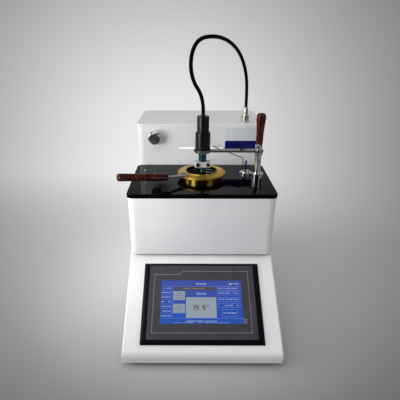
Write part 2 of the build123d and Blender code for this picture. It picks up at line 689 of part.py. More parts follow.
# Turned wooden grip: narrow foot, a bead, then a long pear-shaped head.
with BuildPart() as lift_grip:
    with BuildSketch(upright(COL_X, COL_Y)):
        with BuildLine():
            foot = Line((0, 341.8), (6.4, 341.8))
            flank = Spline((6.4, 341.8), (6.9, 347), (7.0, 360), (7.5, 370), (8.8, 386), (9.1, 394), (7.0, 400),
                           (0, 401.6), tangents=[(0.2, 1), (-1, 0)])
            Line((0, 401.6), (0, 341.8))
        make_face()
    revolve(axis=stem(COL_X, COL_Y))
    with BuildSketch(upright(COL_X, COL_Y)):
        with Locations((8.0, 372.6)):
            Circle(0.9)
    revolve(axis=stem(COL_X, COL_Y), mode=Mode.SUBTRACT)
save(lift_grip.part, "lift_grip")

# ================================= sensor head =================================

head_body = turned(HEAD_X, COL_Y, (0, 331.4), (14.2, 331.4), (15.0, 332.2), (15.0, 364.6), (13.8, HEAD_STEP),
                   (0, HEAD_STEP))
save(head_body, "head_body")

with BuildPart() as head_cap:
    with BuildSketch(level(HEAD_STEP, HEAD_X, COL_Y)):
        Circle(11.9)
    extrude(amount=HEAD_TOP - HEAD_STEP)
    fillet(head_cap.faces().sort_by(Axis.Z)[-1].edges(), radius=1.4)
    with BuildSketch(upright(HEAD_X, COL_Y)):
        with Locations((11.9, HEAD_STEP + 3), (11.9, HEAD_STEP + 6)):
            Circle(0.6)
    revolve(axis=stem(HEAD_X, COL_Y), mode=Mode.SUBTRACT)
save(head_cap.part, "head_cap")

head_gland = turned(HEAD_X, COL_Y, (0, HEAD_TOP), (5.2, HEAD_TOP), (4.4, HEAD_TOP + 1.6), (0, HEAD_TOP + 1.6))
save(head_gland, "head_gland")

probe_neck = turned(HEAD_X, COL_Y, (PROBE_R, BLOCK_LOW + BLOCK_H), (8.0, BLOCK_LOW + BLOCK_H), (8.0, 331.4),
                    (0, 331.4), (0, 318), (PROBE_R, 318))
save(probe_neck, "probe_neck")

# Split clamp block round the probe, drawn together by the two screws on its front.
with BuildPart() as probe_clamp:
    with BuildSketch(level(BLOCK_LOW)):
        with Locations((HEAD_X, COL_Y)):
            RectangleRounded(32, 16, 1.5)
    extrude(amount=BLOCK_H)
    chamfer(probe_clamp.faces().filter_by(Axis.Z).edges(), length=0.5)
    with BuildSketch(level(BLOCK_LOW - 1)):
        with Locations((HEAD_X, COL_Y)):
            Circle(PROBE_R)
            with Locations((-12, 0), (12, 0)):
                Rectangle(16, 1.0)
    extrude(amount=BLOCK_H + 2, mode=Mode.SUBTRACT)
    for screw_x in CLAMP_SCREWS_AT:
        with BuildSketch(upright(screw_x, COL_Y - 9, 301)):
            Circle(1.9)
        extrude(amount=-16, mode=Mode.SUBTRACT)
save(probe_clamp.part, "probe_clamp")

with BuildPart() as clamp_screws:
    for screw_x in CLAMP_SCREWS_AT:
        with BuildSketch(upright(screw_x, COL_Y - 8, 301)):
            Circle(3.5)
        extrude(amount=3.2)
        with BuildSketch(upright(screw_x, COL_Y - 8, 301)):
            Circle(1.8)
        extrude(amount=-14)
    fillet(clamp_screws.faces().sort_by(Axis.Y)[:2].edges(), radius=0.5)
    for screw_x in CLAMP_SCREWS_AT:
        with BuildSketch(upright(screw_x, COL_Y - 11.2, 301)):
            RegularPolygon(1.7, 6)
        extrude(amount=-2.2, mode=Mode.SUBTRACT)
save(clamp_screws.part, "clamp_screws")

temperature_probe = turned(HEAD_X, COL_Y, (0, PROBE_END), (2.6, PROBE_END), (4.2, PROBE_END + 0.9),
                           (PROBE_R, PROBE_END + 2.6), (PROBE_R, 318), (0, 318))
save(temperature_probe, "temperature_probe")

# =============================== flame applicator ===============================

with BuildPart() as applicator_base:
    with BuildSketch(upright(SWING_X, SWING_Y)):
        with BuildLine():
            Polyline((4.9, 257.2), (4.9, PLATE_TOP), (13.0, PLATE_TOP), (13.0, 267.8), (12.2, 268.6), (8.8, 268.6),
                     (8.8, 267.4), (3.2, 267.4), (3.2, 257.2), close=True)
        make_face()
    revolve(axis=stem(SWING_X, SWING_Y))
    with BuildSketch(level(260, SWING_X, SWING_Y)):
        with Locations((10.7, 0), (-10.7, 0)):
            Circle(0.9)
    extrude(amount=10, mode=Mode.SUBTRACT)
save(applicator_base.part, "applicator_base")

swing_hub = turned(SWING_X, SWING_Y, (0, 236), (3.0, 236), (3.0, 267.7), (8.0, 267.7), (8.0, 270.6), (7.4, 271.2),
                   (2.0, 271.2), (2.0, 262), (0, 262))
with BuildPart() as swing_hub_drilled:
    add(swing_hub)
    with BuildSketch(level(268.8, SWING_X - 3.9, SWING_Y + 3.5)):
        Circle(BURNER_R)
    extrude(amount=6, mode=Mode.SUBTRACT)
save(swing_hub_drilled.part, "swing_hub")

swing_pin = turned(SWING_X, SWING_Y, (0, 262), (2.0, 262), (2.0, 292.9), (1.4, 293.5), (0, 293.5))
save(swing_pin, "swing_pin")

# Burner tube: up from the hub, one bend, then a long thin run that ends in a short thicker jet.
BURNER_TIP = (29.9, 188.5, 309.2)
with BuildPart() as burner_tube:
    with BuildLine() as burner_path:
        FilletPolyline(
            level(268.8, SWING_X - 3.9, SWING_Y + 3.5).origin,
            level(273.5, SWING_X - 3.9, SWING_Y + 3.5).origin,
            level(298.6, 90.6, 131.6).origin,
            level(BURNER_TIP[2], BURNER_TIP[0], BURNER_TIP[1]).origin,
            radius=(10, 3.6),
        )
    with BuildSketch(Plane(burner_path.line @ 0, z_dir=(0, 0, 1))):
        Circle(BURNER_R)
        Circle(0.55, mode=Mode.SUBTRACT)
    sweep()
    with BuildSketch(Plane(burner_path.line @ 1, z_dir=burner_path.line % 1)):
        Circle(1.6)
        Circle(0.55, mode=Mode.SUBTRACT)
    extrude(amount=-9)
save(burner_tube.part, "burner_tube")

applicator_motor = turned(SWING_X, SWING_Y, (0, 204), (17.5, 204), (18.5, 205), (18.5, 226), (16.8, 227), (16.8, 231),
                          (18.5, 232), (18.5, 250), (8, 250), (8, 256.6), (3.05, 256.6), (3.05, 235.5), (0, 235.5))
save(applicator_motor, "applicator_motor")

# ==================================== gas ====================================

# Valve: hexagon nut in front, neck through the sheet, body behind, bore for the spindle.
with BuildPart() as gas_valve:
    with BuildSketch(upright(KNOB_X, REAR_FRONT, KNOB_Z)):
        RegularPolygon(8.6, 6)
    extrude(amount=4)
    with BuildSketch(upright(KNOB_X, REAR_FRONT + SHEET_T, KNOB_Z)):
        Circle(5.9)
    extrude(amount=SHEET_T)
    with BuildSketch(upright(KNOB_X, REAR_FRONT + SHEET_T, KNOB_Z)):
        RectangleRounded(22, 26, 2)
    extrude(amount=-24)
    with BuildSketch(upright(KNOB_X, REAR_FRONT - 6, KNOB_Z)):
        Circle(3.05)
    extrude(amount=-20, mode=Mode.SUBTRACT)
save(gas_valve.part, "gas_valve")

# Knob: fluted chrome cap on its spindle.
knob_blank = turned_along_y(KNOB_X, 0, KNOB_Z, (0, 172.5), (11.6, 172.5), (12.6, 173.2), (14.2, 175.2), (14.8, 176.4),
                            (14.8, 188.6), (14.2, 189.6), (3.0, 189.6), (3.0, 207), (0, 207))
with BuildPart() as gas_knob:
    add(knob_blank)
    with BuildSketch(upright(KNOB_X, 175.5, KNOB_Z)):
        with PolarLocations(15.3, 20):
            Circle(1.2)
    extrude(amount=-16, mode=Mode.SUBTRACT)
save(gas_knob.part, "gas_knob")

# Hose nipple at the back: hexagon, plain neck for the hose, and a rounded lip.
NIPPLE_END = 398.0
nipple_blank = turned_along_y(NIPPLE_X, 0, NIPPLE_Z, (1.8, 364), (5.0, 364), (5.0, 387), (4.0, 387), (4.0, 397.4),
                              (3.4, NIPPLE_END), (1.8, NIPPLE_END))
with BuildPart() as gas_nipple:
    add(nipple_blank)
    with BuildSketch(upright(NIPPLE_X, REAR_BACK + 1.5, NIPPLE_Z)):
        RegularPolygon(8.0, 6)
        Circle(1.8, mode=Mode.SUBTRACT)
    extrude(amount=-4)
save(gas_nipple.part, "gas_nipple")

# Copper pipe inside the rear housing, from the nipple to the valve.
with BuildPart() as gas_pipe:
    with BuildLine() as pipe_path:
        FilletPolyline(level(NIPPLE_Z, NIPPLE_X, 364).origin, level(NIPPLE_Z, NIPPLE_X, 210).origin,
                       level(KNOB_Z - 13, NIPPLE_X, 210).origin, radius=14)
    with BuildSketch(Plane(pipe_path.line @ 0, z_dir=(0, -1, 0))):
        Circle(2.0)
    sweep()
save(gas_pipe.part, "gas_pipe")

# =============================== sensor connector ===============================

panel_socket = turned(SOCKET_X, SOCKET_Y, (0, 343), (5.8, 343), (6.3, 344), (6.3, REAR_TOP), (8.15, REAR_TOP),
                      (8.15, 361.4), (7.3, 362.2), (7.3, 363.0), (8.15, 363.8), (8.15, 370.6), (7.4, 371.6), (0, 371.6))
save(panel_socket, "panel_socket")

plug_blank = turned(SOCKET_X, SOCKET_Y, (0, 371.6), (6.0, 371.6), (6.0, 377.0), (5.2, 377.8), (5.2, 387.9), (4.2, 390.6),
                    (0, 390.6))
with BuildPart() as cable_plug:
    add(plug_blank)
    with BuildSketch(level(372.6, SOCKET_X, SOCKET_Y)):
        with PolarLocations(6.3, 16):
            Circle(0.6)
    extrude(amount=4, mode=Mode.SUBTRACT)
save(cable_plug.part, "cable_plug")

# The sensor cable: up out of the head, over in one loop, and down into the plug. Its route
# is given in the vertical plane through both ends: distance along the plane, and height.
CABLE_ROUTE = [(0, 397.8), (0, 416.5), (-11, 440), (-32, 458), (-43.5, 484), (-38, 511.5), (-17, 529.5), (22.7, 534),
               (64, 531), (105.4, 519), (140, 497.4), (164, 466), (174.3, 429.5), (174.3, 390.6)]
cable_span = math.hypot(SOCKET_X - HEAD_X, SOCKET_Y - COL_Y)
cable_dir = ((SOCKET_X - HEAD_X) / cable_span, (SOCKET_Y - COL_Y) / cable_span)
cable_points = []
for s, z in CABLE_ROUTE:
    cable_points.append(level(z, HEAD_X + s * cable_dir[0], COL_Y + s * cable_dir[1]).origin)
cable_radii = []
for before, here, after in zip(cable_points, cable_points[1:], cable_points[2:]):
    run_in, run_out = here - before, after - here
    half_turn = math.radians(run_in.get_angle(run_out)) / 2
    cable_radii.append(0.45 * min(run_in.length, run_out.length) / math.tan(half_turn))
print("cable radii", [round(r) for r in cable_radii])
with BuildPart() as sensor_cable:
    with BuildLine() as cable_path:
        FilletPolyline(*cable_points, radius=cable_radii)
    with BuildSketch(Plane(cable_path.line @ 0, z_dir=(0, 0, 1))):
        Circle(CABLE_R)
    sweep()
save(sensor_cable.part, "sensor_cable", free_cord=True)
cable_length = sum(edge.length for edge in cable_path.line.edges())
print("cable length", round(cable_length), "volume ratio",
      round(sensor_cable.part.volume / (math.pi * CABLE_R ** 2 * cable_length), 4))

# ================================ rear services ================================

# Fan: square frame with a round duct, four struts to the hub plate, and an axle pin.
FAN_BACK = REAR_BACK
FAN_DEPTH = 25.0
with BuildPart() as fan_frame:
    with BuildSketch(upright(FAN_X, FAN_BACK, FAN_Z)):
        RectangleRounded(80, 80, 4)
        Circle(38, mode=Mode.SUBTRACT)
        with GridLocations(71.5, 71.5, 2, 2):
            Circle(2.2, mode=Mode.SUBTRACT)
    extrude(amount=FAN_DEPTH)
    with BuildSketch(upright(FAN_X, FAN_BACK - FAN_DEPTH + 3, FAN_Z)):
        Circle(18)
        Rectangle(77, 4, rotation=45)
        Rectangle(77, 4, rotation=-45)
    extrude(amount=3)
    with BuildSketch(upright(FAN_X, FAN_BACK - FAN_DEPTH + 3, FAN_Z)):
        Circle(2.0)
    extrude(amount=-14)
save(fan_frame.part, "fan_frame")

# Rotor: cup hub with seven pitched blades, each lofted from root to tip.
with BuildPart() as fan_rotor:
    with BuildSketch(upright(FAN_X, FAN_BACK - 2, FAN_Z)):
        Circle(17.5)
    extrude(amount=19)
    for blade in range(7):
        turn = math.radians(blade * 360 / 7)
        spoke = Vector(math.cos(turn), 0, math.sin(turn))
        round_way = Vector(-math.sin(turn), 0, math.cos(turn))
        hub_mid = upright(FAN_X, FAN_BACK - 11.5, FAN_Z).origin
        for radius, pitch, chord in ((15, 52, 15.5), (36.5, 30, 19.5)):
            pitch_way = round_way * math.cos(math.radians(pitch)) + Vector(0, math.sin(math.radians(pitch)), 0)
            with BuildSketch(Plane(hub_mid + spoke * radius, x_dir=pitch_way, z_dir=spoke)):
                SlotOverall(chord, 1.6)
        loft()
    with BuildSketch(upright(FAN_X, FAN_BACK, FAN_Z)):
        Circle(2.05)
    extrude(amount=40, mode=Mode.SUBTRACT)
save(fan_rotor.part, "fan_rotor")

# Mains module: flange, recessed three-pin inlet and a pocket for the rocker.
ROCKER_TILT = 8.0
rocker_pivot = sideways(INLET_X, REAR_BACK - 1.5, INLET_Z + 12.5)
with BuildPart() as mains_inlet:
    with BuildSketch(upright(INLET_X, REAR_BACK + 1.5, INLET_Z)):
        RectangleRounded(31, 52, 3)
    extrude(amount=-2.2)
    with BuildSketch(upright(INLET_X, REAR_BACK + 1.5, INLET_Z)):
        Rectangle(27, 47)
    extrude(amount=24)
    with BuildSketch(upright(INLET_X, REAR_BACK + 4, INLET_Z - 9)):
        inlet_mouth = Rectangle(24.4, 17.2)
        chamfer(inlet_mouth.vertices().group_by(Axis.Y)[-1], length=4.5)
    extrude(amount=18, mode=Mode.SUBTRACT)
    with BuildSketch(upright(INLET_X, REAR_BACK + 4, INLET_Z + 12.5)):
        Rectangle(20, 14)
    extrude(amount=14, mode=Mode.SUBTRACT)
    with BuildSketch(upright(INLET_X, REAR_BACK - 14, INLET_Z - 9)):
        with Locations((-7, -0.5), (0, 3.5), (7, -0.5)):
            Rectangle(2, 4)
    extrude(amount=-14)
    with BuildSketch(rocker_pivot):
        Circle(1.25)
    extrude(amount=11, both=True, mode=Mode.SUBTRACT)
save(mains_inlet.part, "mains_inlet")

# Rocker: a shallow V-shaped key on a cross pin, resting in its OFF tilt.
with BuildPart() as power_rocker:
    with BuildSketch(rocker_pivot):
        Polygon((-2.0, -1.8), (3.4, -5.9), (5.9, -6.0), (4.5, 0), (5.9, 6.0), (3.4, 5.9), (-2.0, 1.8),
                rotation=ROCKER_TILT, align=None)
    extrude(amount=9.6, both=True)
    with BuildSketch(rocker_pivot):
        Circle(1.2)
    extrude(amount=10.7, both=True)
save(power_rocker.part, "power_rocker")

# Power supply in a folded, perforated case.
with BuildPart() as power_supply:
    with BuildSketch(level(CASE_LOW + 1.6, 62, 262)):
        Rectangle(98, 158)
    extrude(amount=38 - CASE_LOW)
    with BuildSketch(level(39.6, 62, 262)):
        with GridLocations(11, 12, 7, 11):
            Circle(2.6)
    extrude(amount=-1.2, mode=Mode.SUBTRACT)
    with BuildSketch(level(39.6, 62, 184)):
        Rectangle(90, 14)
    extrude(amount=-24, mode=Mode.SUBTRACT)
save(power_supply.part, "power_supply")

# Control board: fibreglass board with its transformer, relays, terminals and capacitors.
with BuildPart() as control_board:
    with BuildSketch(level(11.6, *BOARD_MID)):
        RectangleRounded(118, 150, 3)
        with GridLocations(108, 140, 2, 2):
            Circle(1.7, mode=Mode.SUBTRACT)
    extrude(amount=1.6)
    with BuildSketch(level(13.2, *BOARD_MID)):
        with Locations((-28, 42)):
            Rectangle(40, 34)
    extrude(amount=26)
    with BuildSketch(level(13.2, *BOARD_MID)):
        with Locations((20, 50)):
            with GridLocations(20, 0, 3, 1):
                Rectangle(15, 19)
    extrude(amount=15)
    with BuildSketch(level(13.2, *BOARD_MID)):
        with Locations((0, -66)):
            Rectangle(80, 9)
    extrude(amount=11)
    with BuildSketch(level(13.2, *BOARD_MID)):
        with Locations((-36, -10), (-36, -28), (-18, -19)):
            Circle(7)
    extrude(amount=21)
    with BuildSketch(level(13.2, *BOARD_MID)):
        with Locations((22, -14)):
            Rectangle(24, 24)
    extrude(amount=2.4)
save(control_board.part, "control_board")

print("box x", round(min(e.min.X for e in extents), 2), round(max(e.max.X for e in extents), 2))
print("box y", round(min(e.min.Y for e in extents), 2), round(max(e.max.Y for e in extents), 2))
print("box z", round(min(e.min.Z for e in extents), 2), round(max(e.max.Z for e in extents), 2))
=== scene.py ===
# %% [markdown]
# # An open-cup flash point tester
# The imported model is a fixed frame: every piece below is made in metres, in the frame's own place,
# and all but the cable ride on one of its bodies. A few sizes are read back from the frame, so that
# nothing has to be fitted by eye.

import math

import bmesh
import bpy
from mathutils import Matrix, Vector


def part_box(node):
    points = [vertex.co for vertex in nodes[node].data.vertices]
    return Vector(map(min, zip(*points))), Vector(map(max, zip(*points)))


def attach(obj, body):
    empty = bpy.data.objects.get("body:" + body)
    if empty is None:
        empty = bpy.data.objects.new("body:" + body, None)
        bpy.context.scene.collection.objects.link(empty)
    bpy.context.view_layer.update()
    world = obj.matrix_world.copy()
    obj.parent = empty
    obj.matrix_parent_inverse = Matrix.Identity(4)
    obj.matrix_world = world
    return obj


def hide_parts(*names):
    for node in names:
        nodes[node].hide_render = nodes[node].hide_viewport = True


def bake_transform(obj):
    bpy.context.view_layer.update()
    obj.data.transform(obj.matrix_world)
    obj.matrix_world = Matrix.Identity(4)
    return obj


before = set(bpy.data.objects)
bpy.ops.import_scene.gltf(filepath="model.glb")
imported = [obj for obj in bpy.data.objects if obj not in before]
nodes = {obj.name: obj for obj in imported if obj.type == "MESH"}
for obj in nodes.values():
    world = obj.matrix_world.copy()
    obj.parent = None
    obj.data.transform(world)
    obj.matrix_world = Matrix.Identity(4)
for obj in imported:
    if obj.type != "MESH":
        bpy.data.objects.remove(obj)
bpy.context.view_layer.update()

# %% Body coordinates
# Millimetres from the middle of the body, the front of the middle housing and the body's underside.
case_low, case_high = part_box("lower_case")
mid_low, mid_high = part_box("mid_housing")
MM = 0.001
MID_LOW = 135.0
BODY = Vector(((case_low.x + case_high.x) / 2, mid_low.y, mid_low.z - MID_LOW * MM))


def at(x, y, z):
    """A point of the body, from millimetres to the frame's metres."""
    return BODY + Vector((x, y, z)) * MM


SLOPE = math.radians(31.7)
PANEL_AT = at(0, -79.2, 75.0)
PANEL_X = Vector((1, 0, 0))
PANEL_Y = Vector((0, math.cos(SLOPE), math.sin(SLOPE)))
PANEL_Z = Vector((0, -math.sin(SLOPE), math.cos(SLOPE)))


def on_panel(x, y, proud):
    """A point of the sloping touch panel: across, up the slope, and out of the case's sheet."""
    return PANEL_AT + (PANEL_X * x + PANEL_Y * y + PANEL_Z * proud) * MM


print("body stands at", [round(c, 4) for c in BODY])

# %% [markdown]
# ## Camera
# A lens is described by its focal length and by where its axis meets the picture. Both were solved
# from the straight edges of the instrument, with the height and the downward tilt of the camera.

# %% Camera
FRAME_PX = 400
FOCAL_PX = 380.7
AXIS_PX = (189.5, 225.4)
TILT_DOWN = math.radians(26.1)
TURN = math.radians(-0.09)
ROLL = math.radians(0.1)

camera_data = bpy.data.cameras.new("camera")
camera_data.sensor_width = 36.0
camera_data.lens = FOCAL_PX / FRAME_PX * camera_data.sensor_width
camera_data.shift_x = (FRAME_PX / 2 - AXIS_PX[0]) / FRAME_PX
camera_data.shift_y = (AXIS_PX[1] - FRAME_PX / 2) / FRAME_PX
camera_data.clip_start = 0.02
camera_data.clip_end = 60
camera = bpy.data.objects.new("camera", camera_data)
forward = Vector((math.sin(TURN) * math.cos(TILT_DOWN), math.cos(TURN) * math.cos(TILT_DOWN),
                  -math.sin(TILT_DOWN)))
level_right = Vector((math.cos(TURN), -math.sin(TURN), 0))
level_up = level_right.cross(forward)
right = level_right * math.cos(ROLL) + level_up * math.sin(ROLL)
up = level_up * math.cos(ROLL) - level_right * math.sin(ROLL)
CAMERA_AT = at(-22.9, -670.3, 529.0)
axes = Matrix((right, up, -forward)).transposed().to_4x4()
camera.matrix_world = Matrix.Translation(CAMERA_AT) @ axes
bpy.context.scene.collection.objects.link(camera)
bpy.context.scene.camera = camera
bpy.context.scene.view_settings.view_transform = "Standard"
print("lens", round(camera_data.lens, 1), "mm")

# %% [markdown]
# ## Shader maths in plain Python
# A node tree is easier to read as arithmetic. `Wire` stands for the output of a node, and its
# operators add Math nodes. Every other node comes from one method, `Finish.add`.


# %% Wires and finishes
class Wire:
    """An output socket that can be added, multiplied and so on."""

    def __init__(self, finish, socket):
        self.finish = finish
        self.socket = socket

    def maths(self, operation, *values):
        return self.finish.add("ShaderNodeMath", {"operation": operation}, *values)

    def __add__(self, other):
        return self.maths("ADD", self, other)

    def __sub__(self, other):
        return self.maths("SUBTRACT", self, other)

    def __rsub__(self, other):
        return self.maths("SUBTRACT", other, self)

    def __mul__(self, other):
        return self.maths("MULTIPLY", self, other)

    def __truediv__(self, other):
        return self.maths("DIVIDE", self, other)

    def __rtruediv__(self, other):
        return self.maths("DIVIDE", other, self)

    def __pow__(self, other):
        return self.maths("POWER", self, other)

    __radd__ = __add__
    __rmul__ = __mul__

    def ramp(self, low, high):
        """0 below low, 1 above high, smooth between."""
        return self.finish.add("ShaderNodeMapRange", {"interpolation_type": "SMOOTHSTEP"}, self, low, high)


class Finish:
    """A material that is being written, round one Principled shader."""

    def __init__(self, name, colour, roughness, metallic=0.0, **plain):
        self.material = bpy.data.materials.new(name)
        self.material.use_nodes = True
        self.tree = self.material.node_tree
        self.shader = self.tree.nodes["Principled BSDF"]
        self.shader.inputs["Base Color"].default_value = (*colour, 1)
        self.shader.inputs["Roughness"].default_value = roughness
        self.shader.inputs["Metallic"].default_value = metallic
        for socket, value in plain.items():
            self.shader.inputs[socket.replace("_", " ").title().replace("Ior", "IOR")].default_value = value

    def add(self, kind, settings, *values, output=0, **named):
        node = self.tree.nodes.new(kind)
        for name, value in settings.items():
            setattr(node, name, value)
        for socket, value in list(zip(node.inputs, values)) + [(node.inputs[k], v) for k, v in named.items()]:
            if value is not None:
                self.feed(socket, value)
        return Wire(self, node.outputs[output])

    def feed(self, socket, value):
        if isinstance(value, Wire):
            self.tree.links.new(value.socket, socket)
        else:
            socket.default_value = value

    def set(self, socket, value):
        self.feed(self.shader.inputs[socket], value)

    def place(self, scale=(1, 1, 1), turn=(0, 0, 0), centre=(0, 0, 0)):
        """Object coordinates with the origin at centre, turned and then scaled."""
        spot = self.add("ShaderNodeTexCoord", {}, output=3)
        moved = self.add("ShaderNodeVectorMath", {"operation": "SUBTRACT"}, spot, tuple(centre))
        return self.add("ShaderNodeMapping", {"vector_type": "POINT"}, moved, (0, 0, 0), turn, scale)

    def noise(self, place, scale, detail=2.0, rough=0.5, warp=0.0):
        return self.add("ShaderNodeTexNoise", {}, Vector=place, Scale=scale, Detail=detail, Roughness=rough,
                        Distortion=warp)

    def mix(self, factor, first, second):
        node = self.tree.nodes.new("ShaderNodeMix")
        node.data_type = "RGBA"
        for socket, value in ((0, factor), (6, first), (7, second)):
            self.feed(node.inputs[socket], (*value, 1) if isinstance(value, tuple) else value)
        return Wire(self, node.outputs[2])

    def bump(self, height, strength, distance):
        """Adds a relief of distance metres."""
        relief = self.add("ShaderNodeBump", {}, Strength=strength, Distance=distance, Height=height)
        self.set("Normal", relief)


# %% [markdown]
# ## Finishes of the body
# The housings are sheet metal with a smooth powder paint: hardly any colour of its own, a fine
# orange-peel relief, and a little dust that dulls the gloss. The top plate is glass-black and so
# glossy that it mirrors what stands on it, so its finish is nearly all reflection, with faint wipe
# marks in the roughness.


# %% Paint, plate and rubber
def painted_case():
    finish = Finish("painted_case", (0.78, 0.79, 0.80), 0.34)
    spot = finish.place()
    cloud = finish.noise(spot, 9.0, 4.0)
    finish.set("Base Color", finish.mix(cloud.ramp(0.3, 0.7), (0.755, 0.765, 0.775), (0.80, 0.808, 0.812)))
    finish.set("Roughness", 0.30 + 0.12 * finish.noise(spot, 35.0, 3.0))
    finish.bump(finish.noise(spot, 900.0, 1.5), 0.12, 0.00006)
    return finish.material


def gloss_black():
    finish = Finish("gloss_black_plate", (0.0015, 0.0015, 0.002), 0.03, specular_ior_level=0.05)
    spot = finish.place()
    wipe = finish.noise(finish.place(scale=(3, 14, 1), turn=(0, 0, 0.5)), 4.0, 5.0, 0.6, 0.6)
    finish.set("Roughness", 0.02 + 0.05 * wipe.ramp(0.45, 0.8))
    dust = finish.noise(spot, 2600.0, 0.0).ramp(0.70, 0.78)
    finish.set("Base Color", finish.mix(dust * 0.05, (0.0008, 0.0008, 0.001), (0.03, 0.03, 0.03)))
    return finish.material


def moulded(name, colour, roughness, grain=1500.0, depth=0.00005, lift=0.03, **plain):
    """Moulded plastic or rubber: a fine even grain and slow patches of gloss."""
    finish = Finish(name, colour, roughness, **plain)
    spot = finish.place()
    patch = finish.noise(spot, 45.0, 3.0)
    light = tuple(c + lift for c in colour)
    finish.set("Base Color", finish.mix(patch.ramp(0.35, 0.75), colour, light))
    finish.set("Roughness", roughness - 0.06 + 0.14 * patch)
    finish.bump(finish.noise(spot, grain, 2.0), 0.35, depth)
    return finish.material


# %% [markdown]
# ## Metals
# A turned part shows rings, a ground strip shows straight scratches, and plated parts are mirrors
# whose roughness varies a little. One function makes each kind; the direction of the marks comes
# from stretching the noise that makes them.


# %% Metal finishes
def metal(name, colour, roughness, stretch=(1, 1, 1), turn=(0, 0, 0), marks=600.0, depth=0.00002, spread=0.12,
          stain=(0.8, 0.78, 0.74), stain_amount=0.25, **plain):
    """Ground or plated metal: stretched scratches, and slow stains in colour and gloss."""
    finish = Finish(name, colour, roughness, 1.0, **plain)
    scratch = finish.noise(finish.place(scale=stretch, turn=turn), marks, 3.0, 0.6)
    slow = finish.noise(finish.place(), 60.0, 4.0)
    dull = tuple(c * s for c, s in zip(colour, stain))
    finish.set("Base Color", finish.mix(slow.ramp(0.5, 0.85) * stain_amount, colour, dull))
    finish.set("Roughness", roughness + spread * scratch.ramp(0.35, 0.8) + 0.06 * slow)
    finish.bump(scratch, 0.3, depth)
    return finish.material


def turned_metal(name, colour, roughness, centre, rings=2400.0, depth=0.000012, tarnish=(0.45, 0.33, 0.16),
                 tarnish_amount=0.35):
    """Turned on a lathe: rings round the axis at centre, and tarnish in patches."""
    finish = Finish(name, colour, roughness, 1.0)
    spot = finish.place(centre=centre)
    apart = finish.add("ShaderNodeSeparateXYZ", {}, spot)
    across = Wire(finish, apart.socket.node.outputs["X"])
    along = Wire(finish, apart.socket.node.outputs["Y"])
    height = Wire(finish, apart.socket.node.outputs["Z"])
    radius = (across * across + along * along) ** 0.5
    ring_place = finish.add("ShaderNodeCombineXYZ", {}, radius, height, 0.0)
    ring = finish.noise(ring_place, rings, 3.0, 0.7)
    patch = finish.noise(finish.place(), 55.0, 4.0, 0.6, 0.4)
    finish.set("Base Color", finish.mix(patch.ramp(0.48, 0.8) * tarnish_amount, colour, tarnish))
    finish.set("Roughness", roughness + 0.13 * ring.ramp(0.3, 0.75) + 0.14 * patch.ramp(0.5, 0.85))
    finish.bump(ring, 0.5, depth)
    return finish.material


def cup_brass():
    """Brass on the flange, painted darker and a dull green-brown on one side as shade; painted nearly black inside
    the bore as shade.
    """
    finish = Finish("cup_brass", (0.74, 0.46, 0.05), 0.34, 1.0)
    apart = finish.add("ShaderNodeSeparateXYZ", {}, finish.place(centre=CUP_AXIS))
    across, along, height = (Wire(finish, apart.socket.node.outputs[axis]) for axis in "XYZ")
    radius = (across * across + along * along) ** 0.5
    ring = finish.noise(finish.add("ShaderNodeCombineXYZ", {}, radius, height, 0.0), 2400.0, 3.0, 0.7)
    patch = finish.noise(finish.place(), 55.0, 4.0, 0.6, 0.4)
    # Painted shade: one side of the brass is painted darker.
    painted_shade_side = (across * -14.0 + along * 6.0 + patch * 0.5).ramp(0.35, 1.0)
    brass = finish.mix(painted_shade_side * 0.55, (0.78, 0.50, 0.05), (0.36, 0.28, 0.06))
    brass = finish.mix(patch.ramp(0.5, 0.8) * 0.3, brass, (0.42, 0.28, 0.08))
    # Painted shade: the bore is painted nearly black.
    painted_bore_shade = 1.0 - radius.ramp(CUP_BORE + 0.0003, CUP_BORE + 0.0013)
    finish.set("Base Color", finish.mix(painted_bore_shade, brass, (0.012, 0.010, 0.009)))
    finish.set("Roughness", 0.30 + 0.10 * ring.ramp(0.3, 0.75) + 0.10 * patch.ramp(0.5, 0.85))
    finish.bump(ring, 0.5, 0.000012)
    return finish.material


def zinc_sheet():
    finish = Finish("zinc_sheet", (0.60, 0.61, 0.62), 0.38, 1.0)
    spangle = finish.add("ShaderNodeTexVoronoi", {}, Vector=finish.place(), Scale=130.0)
    grey = finish.noise(finish.place(), 40.0, 3.0)
    patch = spangle.ramp(0.0, 0.9) * 0.5 + grey * 0.3
    finish.set("Base Color", finish.mix(patch, (0.50, 0.51, 0.53), (0.66, 0.67, 0.68)))
    finish.set("Roughness", 0.32 + 0.2 * spangle)
    finish.bump(grey, 0.2, 0.00003)
    return finish.material


# %% [markdown]
# ## Wood
# Handle and grip are turned from a dense red-brown hardwood and varnished. The grain runs along
# each piece, so the noise is squeezed along that direction, and a clear coat lies over it.


# %% Varnished wood
def varnished_wood(name, centre, turn):
    finish = Finish(name, (0.13, 0.022, 0.012), 0.32, specular_ior_level=0.12, coat_weight=0.10,
                    coat_roughness=0.10)
    grain_place = finish.place(scale=(1, 1, 0.07), turn=turn, centre=centre)
    bands = finish.noise(grain_place, 260.0, 4.0, 0.6, 0.5)
    pores = finish.noise(finish.place(scale=(1, 1, 0.03), turn=turn, centre=centre), 1500.0, 2.0)
    base = finish.mix(bands.ramp(0.34, 0.72), (0.004, 0.001, 0.001), (0.130, 0.020, 0.004))
    finish.set("Base Color", finish.mix(pores.ramp(0.60, 0.72) * 0.6, base, (0.02, 0.005, 0.004)))
    finish.set("Roughness", 0.26 + 0.14 * bands)
    finish.bump(pores, 0.25, 0.00004)
    return finish.material


# %% Places of the upright pieces
CUP_AXIS = at(0.9, 101.0, 0)
COLUMN_AXIS = at(114.0, 80.0, 0)
HEAD_AXIS = at(2.0, 80.0, 0)
SOCKET_AXIS = at(103.0, 222.0, 0)
CUP_BORE = 32.0 * MM
HANDLE_TURN = math.radians(216.0)
HANDLE_TILT = math.radians(11.0)


# %% Dress the frame's nodes
def dress(material, *names):
    """Gives carried-over nodes their finish."""
    for name in names:
        nodes[name].data.materials.clear()
        nodes[name].data.materials.append(material)


